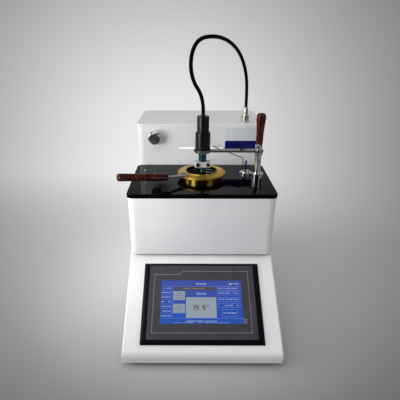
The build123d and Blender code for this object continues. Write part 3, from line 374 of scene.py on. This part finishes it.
case_paint = painted_case()
dress(case_paint, "lower_case", "mid_housing", "rear_housing")
dress(gloss_black(), "top_plate")
zinc = zinc_sheet()
dress(zinc, "base_tray", "rear_panel", "heater_can", "power_supply", "applicator_motor")
dress(moulded("foot_rubber", (0.02, 0.02, 0.02), 0.75, 900, 0.0002), "rubber_feet")
black_screw = metal("black_screw", (0.035, 0.035, 0.037), 0.42, marks=900.0)
dress(black_screw, "plate_screws", "index_pin", "arm_screw", "clamp_screws", "swing_pin")
steel_screw = metal("steel_screw", (0.55, 0.55, 0.55), 0.30, marks=900.0)
dress(steel_screw, "rear_panel_screws", "strap_screws", "panel_clips")

chrome = metal("chrome", (0.80, 0.80, 0.81), 0.05, stretch=(1, 1, 6), marks=500.0, spread=0.05,
               depth=0.000004, stain_amount=0.12)
dress(chrome, "lift_rod", "grip_ferrule", "handle_rest_post", "swing_hub", "applicator_base", "column_sleeve")
dress(metal("knob_chrome", (0.66, 0.67, 0.70), 0.10, marks=500.0, spread=0.05, depth=0.000004), "gas_knob")
# Painted reflection: the probe and its neck are chrome, and their dark teal colour stands in for a dark bluish
# surrounding they reflect.
dress(metal("chrome_painted_teal_reflection", (0.045, 0.17, 0.23), 0.16, stretch=(1, 1, 8), marks=500.0, spread=0.08),
      "probe_neck", "temperature_probe")
arm_steel = metal("ground_steel", (0.62, 0.61, 0.60), 0.26, stretch=(0.06, 1, 1), marks=2200.0)
dress(arm_steel, "rod_guide")
dress(metal("burner_steel", (0.16, 0.15, 0.14), 0.34, marks=2200.0), "burner_tube")
dress(metal("strap_steel", (0.36, 0.36, 0.37), 0.34, stretch=(0.08, 1, 1), turn=(0, 0, -HANDLE_TURN),
            marks=2400.0), "cup_strap")
dress(metal("dark_chrome", (0.30, 0.29, 0.29), 0.12, stretch=(0.2, 1, 1), marks=900.0, depth=0.000006),
      "lift_arm")
dress(metal("satin_aluminium", (0.95, 0.95, 0.95), 0.60, marks=1600.0, depth=0.00001), "probe_clamp")
dress(metal("dull_rivet", (0.30, 0.29, 0.29), 0.4, marks=900.0), "handle_rivets")
dress(cup_brass(), "brass_cup")
dress(turned_metal("ring_brass", (0.78, 0.52, 0.09), 0.10, CUP_AXIS, tarnish_amount=0.15), "cup_seat_ring")
dress(turned_metal("nickel", (0.66, 0.61, 0.53), 0.20, SOCKET_AXIS, tarnish=(0.5, 0.42, 0.3),
                   tarnish_amount=0.4), "panel_socket", "cable_plug", "gas_valve", "gas_nipple")
dress(metal("copper_pipe", (0.72, 0.36, 0.20), 0.28, marks=500.0), "gas_pipe")
dress(moulded("head_plastic", (0.0015, 0.0015, 0.0018), 0.25, 1400, 0.00002, 0.002, specular_ior_level=0.4),
      "head_body", "head_cap", "head_gland")
dress(moulded("bezel_plastic", (0.002, 0.0025, 0.003), 0.42, 1800, 0.00003, 0.002, specular_ior_level=0.08),
      "touch_bezel")
dress(moulded("module_plastic", (0.05, 0.05, 0.055), 0.55), "panel_module", "fan_frame", "fan_rotor",
      "mains_inlet", "power_rocker")
dress(moulded("overlay_film", (0.044, 0.043, 0.054), 0.42, 2600, 0.00002, 0.010, specular_ior_level=0.2),
      "panel_overlay")
dress(moulded("diffuser", (0.86, 0.88, 0.92), 0.30, 800, 0.00002, 0.02, emission_color=(1, 1, 1, 1),
              emission_strength=0.35), "light_strip")
dress(moulded("ceramic", (0.74, 0.71, 0.64), 0.75, 1200, 0.0001), "heater_pillars", "heater_lagging")
dress(moulded("board", (0.02, 0.10, 0.05), 0.45), "control_board")
dress(metal("cast_iron", (0.12, 0.11, 0.10), 0.55, marks=700.0, depth=0.0001), "heater_block",
      "heater_element")

HANDLE_AT = at(0.9, 101.0, 282.3) + Vector((math.cos(HANDLE_TURN), math.sin(HANDLE_TURN), 0)) * 86.5 * MM
dress(varnished_wood("handle_wood", HANDLE_AT, (0, math.pi / 2 - HANDLE_TILT, -HANDLE_TURN)), "cup_handle")
dress(varnished_wood("grip_wood", COLUMN_AXIS, (0, 0, 0)), "lift_grip")

# %% [markdown]
# ## Sensor cable
# The cable is one smooth line: up out of the head, over in a loop and down into the plug. Its
# points are the ones the solid follows, and a spline runs near them.

# %% Sensor cable
CABLE_MM = 7.0
CABLE_ROUTE = [(0, 397.8), (0, 416.5), (-11, 440), (-32, 458), (-43.5, 484), (-38, 511.5), (-17, 529.5),
               (22.7, 534), (64, 531), (105.4, 519), (140, 497.4), (164, 466), (174.3, 429.5), (174.3, 390.6)]
cable_way = (SOCKET_AXIS - HEAD_AXIS) / CABLE_ROUTE[-1][0]
cable_curve = bpy.data.curves.new("sensor_cable_line", "CURVE")
cable_curve.dimensions = "3D"
cable_curve.resolution_u = 16
cable_curve.use_fill_caps = True
cable_line = cable_curve.splines.new("NURBS")
cable_line.points.add(len(CABLE_ROUTE) - 1)
for point, (along, height) in zip(cable_line.points, CABLE_ROUTE):
    point.co = (*(HEAD_AXIS + cable_way * along + Vector((0, 0, height * MM))), 1)
cable_line.order_u = 3
cable_line.use_endpoint_u = True
cable_holder = bpy.data.objects.new("sensor_cable_line", cable_curve)
bpy.context.scene.collection.objects.link(cable_holder)


def mesh_of_line(thickness):
    """The line as a mesh: bare points with no thickness, a round tube with one."""
    cable_curve.bevel_depth = thickness / 2
    cable_curve.bevel_resolution = 8
    evaluated = cable_holder.evaluated_get(bpy.context.evaluated_depsgraph_get())
    return bpy.data.meshes.new_from_object(evaluated)


cable_path = [tuple(vertex.co) for vertex in mesh_of_line(0).vertices]
cable_tube = mesh_of_line(CABLE_MM * MM)
bpy.data.objects.remove(cable_holder)
cable = bpy.data.objects.new("flexible_cable", cable_tube)
bpy.context.scene.collection.objects.link(cable)
cable_tube.materials.clear()
cable_rubber = moulded("cable_rubber", (0.001, 0.001, 0.0012), 0.45, 700, 0.00006, 0.0005,
                       specular_ior_level=0.05)
cable_tube.materials.append(cable_rubber)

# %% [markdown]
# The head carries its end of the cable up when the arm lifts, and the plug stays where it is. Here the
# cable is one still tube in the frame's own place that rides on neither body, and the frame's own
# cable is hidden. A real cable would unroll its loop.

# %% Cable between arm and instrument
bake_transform(cable)
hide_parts("sensor_cable")
print("cable over", len(CABLE_ROUTE), "points")

# %% [markdown]
# ## Flat graphics
# The lit screen, the pin line of the overlay and the label on the rear housing are flat prints. They
# are thin plates a few hundredths of a millimetre thick, so that they show in any renderer and no
# picture is needed. `plates` builds many rectangles of one colour as one mesh.


# %% Plates on a plane
def new_piece(name, mesh, body, slot, *materials):
    """Links a finished mesh and lets it ride on a body."""
    for material in materials:
        mesh.materials.append(material)
    made = bpy.data.objects.new(name, mesh)
    bpy.context.scene.collection.objects.link(made)
    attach(made, body)
    return made


def plates(name, rectangles, place, proud, thick, slot, material, body="instrument"):
    """Thin boxes: rectangles are (left, low, right, high) in millimetres on a plane."""
    shape = bmesh.new()
    for left, low, right_side, high in rectangles:
        corners = []
        for height in (proud, proud + thick):
            corners += [shape.verts.new(place(x, y, height)) for x, y in
                        ((left, low), (right_side, low), (right_side, high), (left, high))]
        for quad in ((3, 2, 1, 0), (4, 5, 6, 7), (0, 1, 5, 4), (1, 2, 6, 5), (2, 3, 7, 6), (3, 0, 4, 7)):
            shape.faces.new([corners[i] for i in quad])
    mesh = bpy.data.meshes.new(name)
    shape.to_mesh(mesh)
    shape.free()
    return new_piece(name, mesh, body, slot, material)


def frames_of(rectangles, width):
    """Outlines of rectangles, as four thin rectangles each."""
    lines = []
    for left, low, right_side, high in rectangles:
        lines += [(left, low, right_side, low + width), (left, high - width, right_side, high),
                  (left, low, left + width, high), (right_side - width, low, right_side, high)]
    return lines


def lit(name, colour, strength=0.66, roughness=0.25):
    """A lit area of the screen: glass gloss over a glow that is not quite even."""
    unlit = tuple(c * 0.25 for c in colour)
    finish = Finish(name, unlit, roughness, emission_strength=strength, specular_ior_level=0.25)
    uneven = finish.noise(finish.place(), 30.0, 2.0)
    finish.set("Emission Color", finish.mix(uneven * 0.6, colour, tuple(c * 0.82 for c in colour)))
    finish.set("Roughness", roughness + 0.06 * uneven)
    return finish.material


# %% The screen's ground
def screen_glass():
    """Blue that turns from violet at the top to a clearer blue at the bottom."""
    finish = Finish("screen_glass", (0.012, 0.022, 0.11), 0.22, emission_strength=0.52,
                    specular_ior_level=0.25)
    up_slope = finish.place(turn=(-SLOPE, 0, 0), centre=PANEL_AT)
    apart = finish.add("ShaderNodeSeparateXYZ", {}, up_slope)
    height = Wire(finish, apart.socket.node.outputs["Y"])
    blue = finish.mix(height.ramp(-0.040, 0.036), (0.020, 0.120, 0.560), (0.060, 0.105, 0.480))
    finish.set("Emission Color", blue)
    return finish.material


dress(screen_glass(), "lcd_screen")
SCREEN = 5.1
SCREEN_LINES = [(-78.4, 30.6, 76.8, 31.2), (-78.4, -33.3, 76.8, -32.7), (-56.6, -33.0, -56.0, 31.0),
                (28.6, 22.0, 76.8, 22.6), (52.6, 31.0, 53.2, 43.0), (51.6, 22.4, 52.2, 31.0)]
SCREEN_LINES += [(-78.4, y, -56.2, y + 0.5) for y in (22.1, 12.4, 3.4, -5.6, -14.6, -23.6)]
SCREEN_LINES += [(-56.2, y, -31.0, y + 0.5) for y in (2.0, -5.0, -23.6)]
plates("screen_lines", SCREEN_LINES, on_panel, SCREEN, 0.03, "screen",
       lit("screen_line", (0.16, 0.24, 0.72)))
BUTTONS = [(30.2, 12.9, 50.2, 21.6), (53.8, 12.9, 72.0, 21.6), (30.6, -0.6, 50.2, 8.0),
           (53.8, -0.6, 72.4, 8.0), (31.0, -12.0, 50.2, -4.0), (54.0, -12.0, 72.6, -4.0), (38.0, -29.6, 66.0, -15.8)]
plates("screen_buttons", BUTTONS, on_panel, SCREEN, 0.03, "screen",
       lit("screen_button", (0.026, 0.078, 0.44)))
plates("screen_button_edges", frames_of(BUTTONS, 0.6), on_panel, SCREEN + 0.03, 0.02, "screen",
       lit("screen_edge", (0.17, 0.28, 0.78)))
plates("screen_status_bar", [(-54.8, 22.6, 27.6, 29.6)], on_panel, SCREEN, 0.04, "screen",
       lit("screen_grey", (0.090, 0.080, 0.088)))
VALUES = [(-55.0, 12.2, -32.2, 20.8), (-55.0, 3.2, -32.2, 11.6), (-54.8, -13.8, -32.0, -5.3),
          (-54.8, -22.8, -32.0, -14.4)]
plates("screen_values", VALUES, on_panel, SCREEN, 0.04, "screen",
       lit("screen_value", (0.31, 0.35, 0.40)))
WINDOW = [(-30.0, -32.0, 27.4, 8.0)]
plates("screen_window", WINDOW, on_panel, SCREEN, 0.04, "screen",
       lit("screen_pale", (0.32, 0.38, 0.43)))
plates("screen_window_edge", frames_of(WINDOW, 0.5), on_panel, SCREEN + 0.04, 0.02, "screen",
       lit("screen_pale_edge", (0.46, 0.52, 0.62)))
plates("screen_flag", [(54.8, 34.2, 58.4, 37.2)], on_panel, SCREEN, 0.04, "screen",
       lit("screen_yellow", (0.62, 0.66, 0.30)))
plates("screen_port", [(77.2, -43.4, 83.6, -33.2)], on_panel, 5.32, 0.03, "overlay_film",
       moulded("port_film", (0.115, 0.112, 0.118), 0.35))

# %% [markdown]
# ## Repeats
# What repeats by a rule is made by Geometry Nodes: the knurls of the socket and plug, the filling
# rings in the cup and the rows of dashes that stand for printed lists. `Recipe` writes such a tree
# with named sizes, lets Blender evaluate it once, and hands back a plain mesh.


# %% Recipes
class Recipe:
    """A Geometry Nodes tree with named sizes that ends in one plain mesh."""

    def __init__(self, name, **sizes):
        self.tree = bpy.data.node_groups.new(name, "GeometryNodeTree")
        self.tree.interface.new_socket("Geometry", in_out="OUTPUT", socket_type="NodeSocketGeometry")
        self.given = {}
        for title, value in sizes.items():
            kind = {int: "NodeSocketInt", float: "NodeSocketFloat"}.get(type(value), "NodeSocketVector")
            socket = self.tree.interface.new_socket(title, in_out="INPUT", socket_type=kind)
            self.given[socket.identifier] = value
        self.sizes = self.tree.nodes.new("NodeGroupInput").outputs

    def size(self, title):
        return Wire(self, self.sizes[title])

    def add(self, kind, settings, *values, output=0, **named):
        return Finish.add(self, kind, settings, *values, output=output, **named)

    feed = Finish.feed

    def make(self, shapes, material):
        """Realizes the instances, sets the material and returns the evaluated mesh."""
        real = self.add("GeometryNodeRealizeInstances", {}, shapes)
        painted = self.add("GeometryNodeSetMaterial", {}, Geometry=real, Material=material)
        self.feed(self.tree.nodes.new("NodeGroupOutput").inputs[0], painted)
        holder = bpy.data.objects.new(self.tree.name, bpy.data.meshes.new(self.tree.name))
        bpy.context.scene.collection.objects.link(holder)
        modifier = holder.modifiers.new("recipe", "NODES")
        modifier.node_group = self.tree
        for identifier, value in self.given.items():
            modifier[identifier] = value
        evaluated = holder.evaluated_get(bpy.context.evaluated_depsgraph_get())
        mesh = bpy.data.meshes.new_from_object(evaluated)
        holder.modifiers.clear()
        bpy.data.objects.remove(holder)
        print(self.tree.name, len(mesh.polygons), "faces")
        return mesh


# %% [markdown]
# ## Knurls
# A knurl is a ring of small ribs that gives the fingers a hold. A circle is turned into evenly spaced
# points, each with the direction of the circle, and a slim bar stands on every one.


# %% Knurled rings
def knurl(name, axis, height, radius, count, rib, material, body, slot):
    recipe = Recipe(name, Centre=tuple(axis + Vector((0, 0, height * MM))), Radius=radius * MM, Count=count,
                    Rib=tuple(c * MM for c in rib))
    circle = recipe.add("GeometryNodeCurvePrimitiveCircle", {"mode": "RADIUS"}, Radius=recipe.size("Radius"))
    dots = recipe.add("GeometryNodeCurveToPoints", {"mode": "COUNT"}, Curve=circle,
                      Count=recipe.size("Count"))
    turns = Wire(recipe, dots.socket.node.outputs["Rotation"])
    bar = recipe.add("GeometryNodeMeshCube", {}, Size=recipe.size("Rib"))
    ribs = recipe.add("GeometryNodeInstanceOnPoints", {}, Points=dots, Instance=bar, Rotation=turns)
    placed = recipe.add("GeometryNodeTransform", {}, Geometry=ribs, Translation=recipe.size("Centre"))
    return new_piece(name, recipe.make(placed, material), body, slot)


nickel_rib = metal("nickel_rib", (0.62, 0.57, 0.48), 0.22, marks=900.0)
knurl("socket_knurl", SOCKET_AXIS, 367.0, 8.15, 40, (0.5, 5.4, 0.7), nickel_rib, "instrument",
      "connector_nickel")
knurl("socket_foot_knurl", SOCKET_AXIS, 359.2, 8.15, 40, (0.5, 2.6, 0.7), nickel_rib, "instrument",
      "connector_nickel")

# %% [markdown]
# ## Filling rings
# The bore of the cup is painted nearly black as shade, and light arcs show in it. They are taken to be turned lines
# that run round the bore. Each is a circle swept with a tiny profile, and the stack of them is a row of
# points, one above the other.

# %% Rings in the bore
LOWEST_RING = CUP_AXIS + Vector((0, 0, 262.5 * MM))
ring_recipe = Recipe("cup_rings", Centre=tuple(LOWEST_RING), Radius=31.75 * MM, Count=3,
                     Step=(0.0, 0.0, 5.6 * MM), Line=0.42 * MM)
ring_line = ring_recipe.add("GeometryNodeCurvePrimitiveCircle", {"mode": "RADIUS"}, Resolution=96,
                            Radius=ring_recipe.size("Radius"))
ring_profile = ring_recipe.add("GeometryNodeCurvePrimitiveCircle", {"mode": "RADIUS"}, Resolution=6,
                               Radius=ring_recipe.size("Line"))
ring_tube = ring_recipe.add("GeometryNodeCurveToMesh", {}, ring_line, ring_profile)
ring_row = ring_recipe.add("GeometryNodeMeshLine", {"mode": "OFFSET"}, Count=ring_recipe.size("Count"),
                           Offset=ring_recipe.size("Step"))
ring_stack = ring_recipe.add("GeometryNodeInstanceOnPoints", {}, Points=ring_row, Instance=ring_tube)
ring_placed = ring_recipe.add("GeometryNodeTransform", {}, Geometry=ring_stack,
                              Translation=ring_recipe.size("Centre"))
new_piece("cup_filling_rings", ring_recipe.make(ring_placed, metal("ring_line", (0.62, 0.60, 0.55), 0.3)),
          "test_cup", "cup_brass")

# %% [markdown]
# ## Printed lists
# The screen shows small printed words. They are shown as rows of plain dashes: a grid of points, a flat
# bar of random width on each, and a few left out at random, always from the same seed.


# %% Rows of dashes
TEXT = SCREEN + 0.05
THINNEST, WIDEST = 0.45, 0.85


def dashes(name, box, columns, rows, tall, material, seed, gaps=0.12, proud=TEXT):
    """Rows of dashes between the corners of box, in millimetres on the panel."""
    left, low, right_side, high = box
    centre = on_panel((left + right_side) / 2, (low + high) / 2, proud)
    cell = (right_side - left) / (columns - 1)
    recipe = Recipe(name, Centre=tuple(centre), Slope=(SLOPE, 0.0, 0.0), Across=(right_side - left) * MM,
                    Up=(high - low) * MM, Columns=columns, Rows=rows, Tall=tall * MM, Seed=seed, Gaps=gaps)
    grid = recipe.add("GeometryNodeMeshGrid", {}, recipe.size("Across"), recipe.size("Up"),
                      recipe.size("Columns"), recipe.size("Rows"))
    width = recipe.add("FunctionNodeRandomValue", {"data_type": "FLOAT"}, output=1)
    width.socket.node.inputs[2].default_value = cell * THINNEST * MM
    width.socket.node.inputs[3].default_value = cell * WIDEST * MM
    recipe.feed(width.socket.node.inputs["Seed"], recipe.size("Seed"))
    left_out = recipe.add("FunctionNodeRandomValue", {"data_type": "FLOAT"}, output=1)
    recipe.feed(left_out.socket.node.inputs["Seed"], recipe.size("Seed") + 7)
    kept = recipe.add("FunctionNodeCompare", {"operation": "GREATER_THAN"}, left_out, recipe.size("Gaps"))
    bar = recipe.add("GeometryNodeMeshCube", {}, Size=(1.0, 1.0, 0.03 * MM))
    scale = recipe.add("ShaderNodeCombineXYZ", {}, width, recipe.size("Tall"), 1.0)
    bars = recipe.add("GeometryNodeInstanceOnPoints", {}, Points=grid, Selection=kept, Instance=bar,
                      Scale=scale)
    placed = recipe.add("GeometryNodeTransform", {}, Geometry=bars, Translation=recipe.size("Centre"),
                        Rotation=recipe.size("Slope"))
    return new_piece(name, recipe.make(placed, material), "instrument", "screen")


screen_print = lit("screen_print", (0.42, 0.46, 0.72), 0.62)
dashes("list_header", (-9.6, 36.0, 7.2, 36.0), 5, 1, 2.6, screen_print, 3, 0.0)
dashes("list_corner", (61.0, 36.2, 71.0, 36.2), 5, 1, 1.8, screen_print, 4, 0.0)
dashes("list_rows", (-76.0, -28.4, -60.0, 26.8), 6, 7, 1.9, screen_print, 5)
dashes("list_heading", (-8.0, 15.4, 6.0, 15.4), 4, 1, 3.2, screen_print, 6, 0.0)
dashes("list_titles", (32.6, 26.9, 68.0, 26.9), 9, 1, 1.9, screen_print, 7)
dashes("list_buttons", (35.0, -8.2, 67.5, 17.2), 7, 3, 1.7, screen_print, 8, 0.25)
dashes("list_button_low", (42.0, -22.7, 62.0, -22.7), 5, 1, 2.2, screen_print, 9, 0.0)
status_print = lit("status_print", (0.30, 0.28, 0.26), 0.8)
dashes("list_status", (-35.0, 26.4, 6.0, 26.4), 16, 1, 1.4, status_print, 10)
dashes("list_foot", (-29.0, -38.4, 26.0, -38.4), 22, 1, 1.7, screen_print, 11)
dashes("list_foot_low", (-50.0, -41.4, 48.0, -41.4), 40, 1, 0.9, screen_print, 12)
value_print = lit("value_print", (0.12, 0.14, 0.20), 0.6)
dashes("list_values", (-46.0, 7.2, -41.0, 16.6), 2, 2, 1.4, value_print, 13, 0.0, proud=TEXT + 0.02)
dashes("list_values_low", (-46.0, -18.6, -41.0, -9.6), 2, 2, 1.4, value_print, 14, 0.0, proud=TEXT + 0.02)

# %% [markdown]
# ## The reading
# The big figures of the reading are plain seven-segment digits: each is built from the bars that are
# lit. On the overlay a fine pin line runs round the screen and steps down at its upper left.

# %% Digits and pin line
SEGMENTS = {"a": (0, 8.9, 4.6, 9.8), "b": (3.3, 5, 4.6, 9.8), "c": (3.3, 0, 4.6, 5), "d": (0, 0, 4.6, 0.9),
            "e": (0, 0, 1.3, 5), "f": (0, 5, 1.3, 9.8), "g": (0, 4.3, 4.6, 5.2)}
DIGITS = {"1": "bc", "9": "abcdfg"}
READING_FOOT = -17.0
reading = []
for figure, left in (("1", -18.4), ("9", -11.4), ("9", 1.2)):
    for low_x, low_y, high_x, high_y in (SEGMENTS[bar] for bar in DIGITS[figure]):
        reading.append((left + low_x, READING_FOOT + low_y, left + high_x, READING_FOOT + high_y))
POINT = [(-4.6, -17.0, -3.0, -15.4)]
DEGREE_MARK = [(9.0, -10.0, 12.6, -9.2), (9.0, -7.8, 12.6, -7.0), (9.0, -9.2, 9.8, -7.8),
               (11.8, -9.2, 12.6, -7.8)]
reading += POINT + DEGREE_MARK
plates("screen_reading", reading, on_panel, SCREEN + 0.04, 0.03, "screen",
       lit("reading_print", (0.01, 0.015, 0.03), 0.5))

PIN_LINE = [(-92.3, 55.9), (-44.6, 56.0), (-36.7, 63.0), (91.0, 63.0), (91.5, -60.2), (-93.2, -60.7)]
PIN_WIDE = 1.1


def ribbon(name, corners, wide, proud, thick, slot, material):
    """A closed flat line of even width round a list of panel points, mitred at its corners."""
    shape = bmesh.new()
    sections = []
    points = [Vector(c) for c in corners]
    for before, here, after in zip(points[-1:] + points[:-1], points, points[1:] + points[:1]):
        run_in, run_out = (here - before).normalized(), (after - here).normalized()
        side = (Vector((-run_in.y, run_in.x)) + Vector((-run_out.y, run_out.x))).normalized()
        reach = wide / 2 / max(0.3, side.dot(Vector((-run_in.y, run_in.x))))
        outer, inner = here + side * reach, here - side * reach
        sections.append([shape.verts.new(on_panel(*spot, level)) for spot, level in
                         ((outer, proud), (inner, proud), (inner, proud + thick), (outer, proud + thick))])
    for one, two in zip(sections, sections[1:] + sections[:1]):
        for i in range(4):
            shape.faces.new((one[i], two[i], two[(i + 1) % 4], one[(i + 1) % 4]))
    bmesh.ops.recalc_face_normals(shape, faces=shape.faces)
    mesh = bpy.data.meshes.new(name)
    shape.to_mesh(mesh)
    shape.free()
    return new_piece(name, mesh, "instrument", slot, material)


film_print = moulded("film_print", (0.17, 0.165, 0.20), 0.35)
ribbon("overlay_pin_line", PIN_LINE, PIN_WIDE, 5.30, 0.03, "overlay_film", film_print)

# %% [markdown]
# ## Label field
# The front of the rear housing carries a printed field at the right: bare pale film above, and a plain
# dark blue band below. Both are thin plates that lie on the sheet.


# %% Label field
REAR_FRONT = 196.0


def on_rear_front(x, y, proud):
    """A point of the rear housing's front: across, up, and out of the sheet."""
    return at(x, REAR_FRONT - proud, y)


plates("label_field", [(56.4, 321.0, 127.6, 349.4)], on_rear_front, 0.02, 0.05, "painted_case",
       moulded("label_film", (0.70, 0.72, 0.77), 0.25, 800, 0.00001, 0.02))
BAND = [(58.0, 301.7, 128.8, 320.4), (56.6, 301.7, 58.0, 318.8)]
plates("label_band", BAND, on_rear_front, 0.02, 0.05, "painted_case",
       moulded("band_film", (0.0012, 0.0030, 0.105), 0.22, 800, 0.00001, 0.004))

# %% [markdown]
# ## Studio
# A pale floor that curves up into a backdrop, and five soft lamps: a large key at the upper left, a
# small near one whose light falls off across the housings, a tall one at the left for their bright
# edges, a fill at the right and one overhead. The world is an even grey. Glossy rays are shown a much
# darker world than the one that lights the paint, so that chrome and black gloss stay dark; they see
# the floor and backdrop as they are.

# %% Floor and backdrop
BEAM_FROM = at(-40.0, -760.0, 600.0)
BEAM_WAY = (-0.072, 0.956, -0.286)
BEAM_LEVEL = 0.90
BEAM_EDGE = 0.15
BEAM_WIDTH = 2.8
FLOOR_GAIN = 1.22


def backdrop():
    """A pool of light, painted as if thrown from a fixed point high in front, fading outwards."""
    finish = Finish("backdrop", (0.6, 0.6, 0.6), 0.9, specular_ior_level=0.0, emission_strength=1.0)
    way = finish.add("ShaderNodeVectorMath", {"operation": "NORMALIZE"}, finish.place(centre=BEAM_FROM))
    inline = finish.add("ShaderNodeVectorMath", {"operation": "DOT_PRODUCT"}, way, BEAM_WAY, output=1)
    spread = 1.0 / (inline * inline) - 1.0
    fading = BEAM_LEVEL * (1.0 + BEAM_WIDTH * spread) ** -1.5
    level = fading.maths("MAXIMUM", fading, BEAM_EDGE)
    apart = finish.add("ShaderNodeSeparateXYZ", {}, finish.place(), output=1)
    matt = 0.94 - 0.80 * apart.ramp(0.15, 0.9)
    path = finish.add("ShaderNodeLightPath", {}).socket.node.outputs
    seen = Wire(finish, path["Is Camera Ray"]) + Wire(finish, path["Is Glossy Ray"])
    seen = seen + Wire(finish, path["Is Transmission Ray"])
    # Painted light: the floor and backdrop are painted brighter towards the right.
    painted_light_rightward = 1.0 + 0.55 * finish.add("ShaderNodeSeparateXYZ", {}, finish.place(), output=0)
    paint = level * matt * FLOOR_GAIN * painted_light_rightward
    glow = level * (1.0 - matt) * seen
    finish.set("Base Color", finish.add("ShaderNodeCombineXYZ", {}, paint, paint, paint))
    finish.set("Emission Color", finish.add("ShaderNodeCombineXYZ", {}, glow, glow, glow))
    return finish.material


FLOOR_HALF = 3.5
BACK_Y = 2.2
BEND = 0.8
sweep = [(-2.2, 0.0), (BACK_Y - BEND, 0.0)]
sweep += [(BACK_Y - BEND + BEND * math.sin(a), BEND - BEND * math.cos(a))
          for a in [math.radians(10 * i) for i in range(1, 10)]]
sweep += [(BACK_Y, 3.5)]
shape = bmesh.new()
rows = [[shape.verts.new((x, y, z)) for y, z in sweep] for x in (-FLOOR_HALF, FLOOR_HALF)]
for i in range(len(sweep) - 1):
    shape.faces.new((rows[0][i], rows[1][i], rows[1][i + 1], rows[0][i + 1]))
floor_mesh = bpy.data.meshes.new("backdrop")
shape.to_mesh(floor_mesh)
shape.free()
floor_mesh.materials.append(backdrop())
floor_mesh.shade_smooth()
floor = bpy.data.objects.new("backdrop", floor_mesh)
bpy.context.scene.collection.objects.link(floor)


# %% Lamps
def area_lamp(name, place, target, width, height, power, spread=180):
    data = bpy.data.lights.new(name, "AREA")
    data.spread = math.radians(spread)
    data.shape = "RECTANGLE"
    data.size, data.size_y = width, height
    data.energy = power
    lamp = bpy.data.objects.new(name, data)
    lamp.location = place
    lamp.rotation_euler = (Vector(target) - Vector(place)).to_track_quat("-Z", "Y").to_euler()
    bpy.context.scene.collection.objects.link(lamp)
    return lamp


area_lamp("key", (-1.1, -1.0, 1.9), (0, 0, 0.15), 1.5, 1.2, 10)
area_lamp("near", (-0.42, -0.34, 0.36), (0.02, 0.02, 0.22), 0.25, 0.25, 0.60, 95)
area_lamp("side", (-1.7, 0.1, 0.7), (0, 0.05, 0.2), 0.7, 1.2, 9)
area_lamp("fill", (1.6, -1.2, 1.2), (0, 0, 0.15), 1.2, 1.2, 6)
area_lamp("top", (0, 0.3, 2.2), (0, 0, 0.2), 1.8, 1.4, 7)

world = bpy.data.worlds.new("studio")
world.use_nodes = True
sky = world.node_tree.nodes["Background"]
rays = world.node_tree.nodes.new("ShaderNodeLightPath")
choice = world.node_tree.nodes.new("ShaderNodeMix")
choice.data_type = "RGBA"
choice.inputs[6].default_value = (0.40, 0.405, 0.415, 1)
choice.inputs[7].default_value = (0.05, 0.05, 0.055, 1)
world.node_tree.links.new(rays.outputs["Is Glossy Ray"], choice.inputs[0])
world.node_tree.links.new(choice.outputs[2], sky.inputs["Color"])
sky.inputs["Strength"].default_value = 1.0
bpy.context.scene.world = world
print("lamps and world ready")
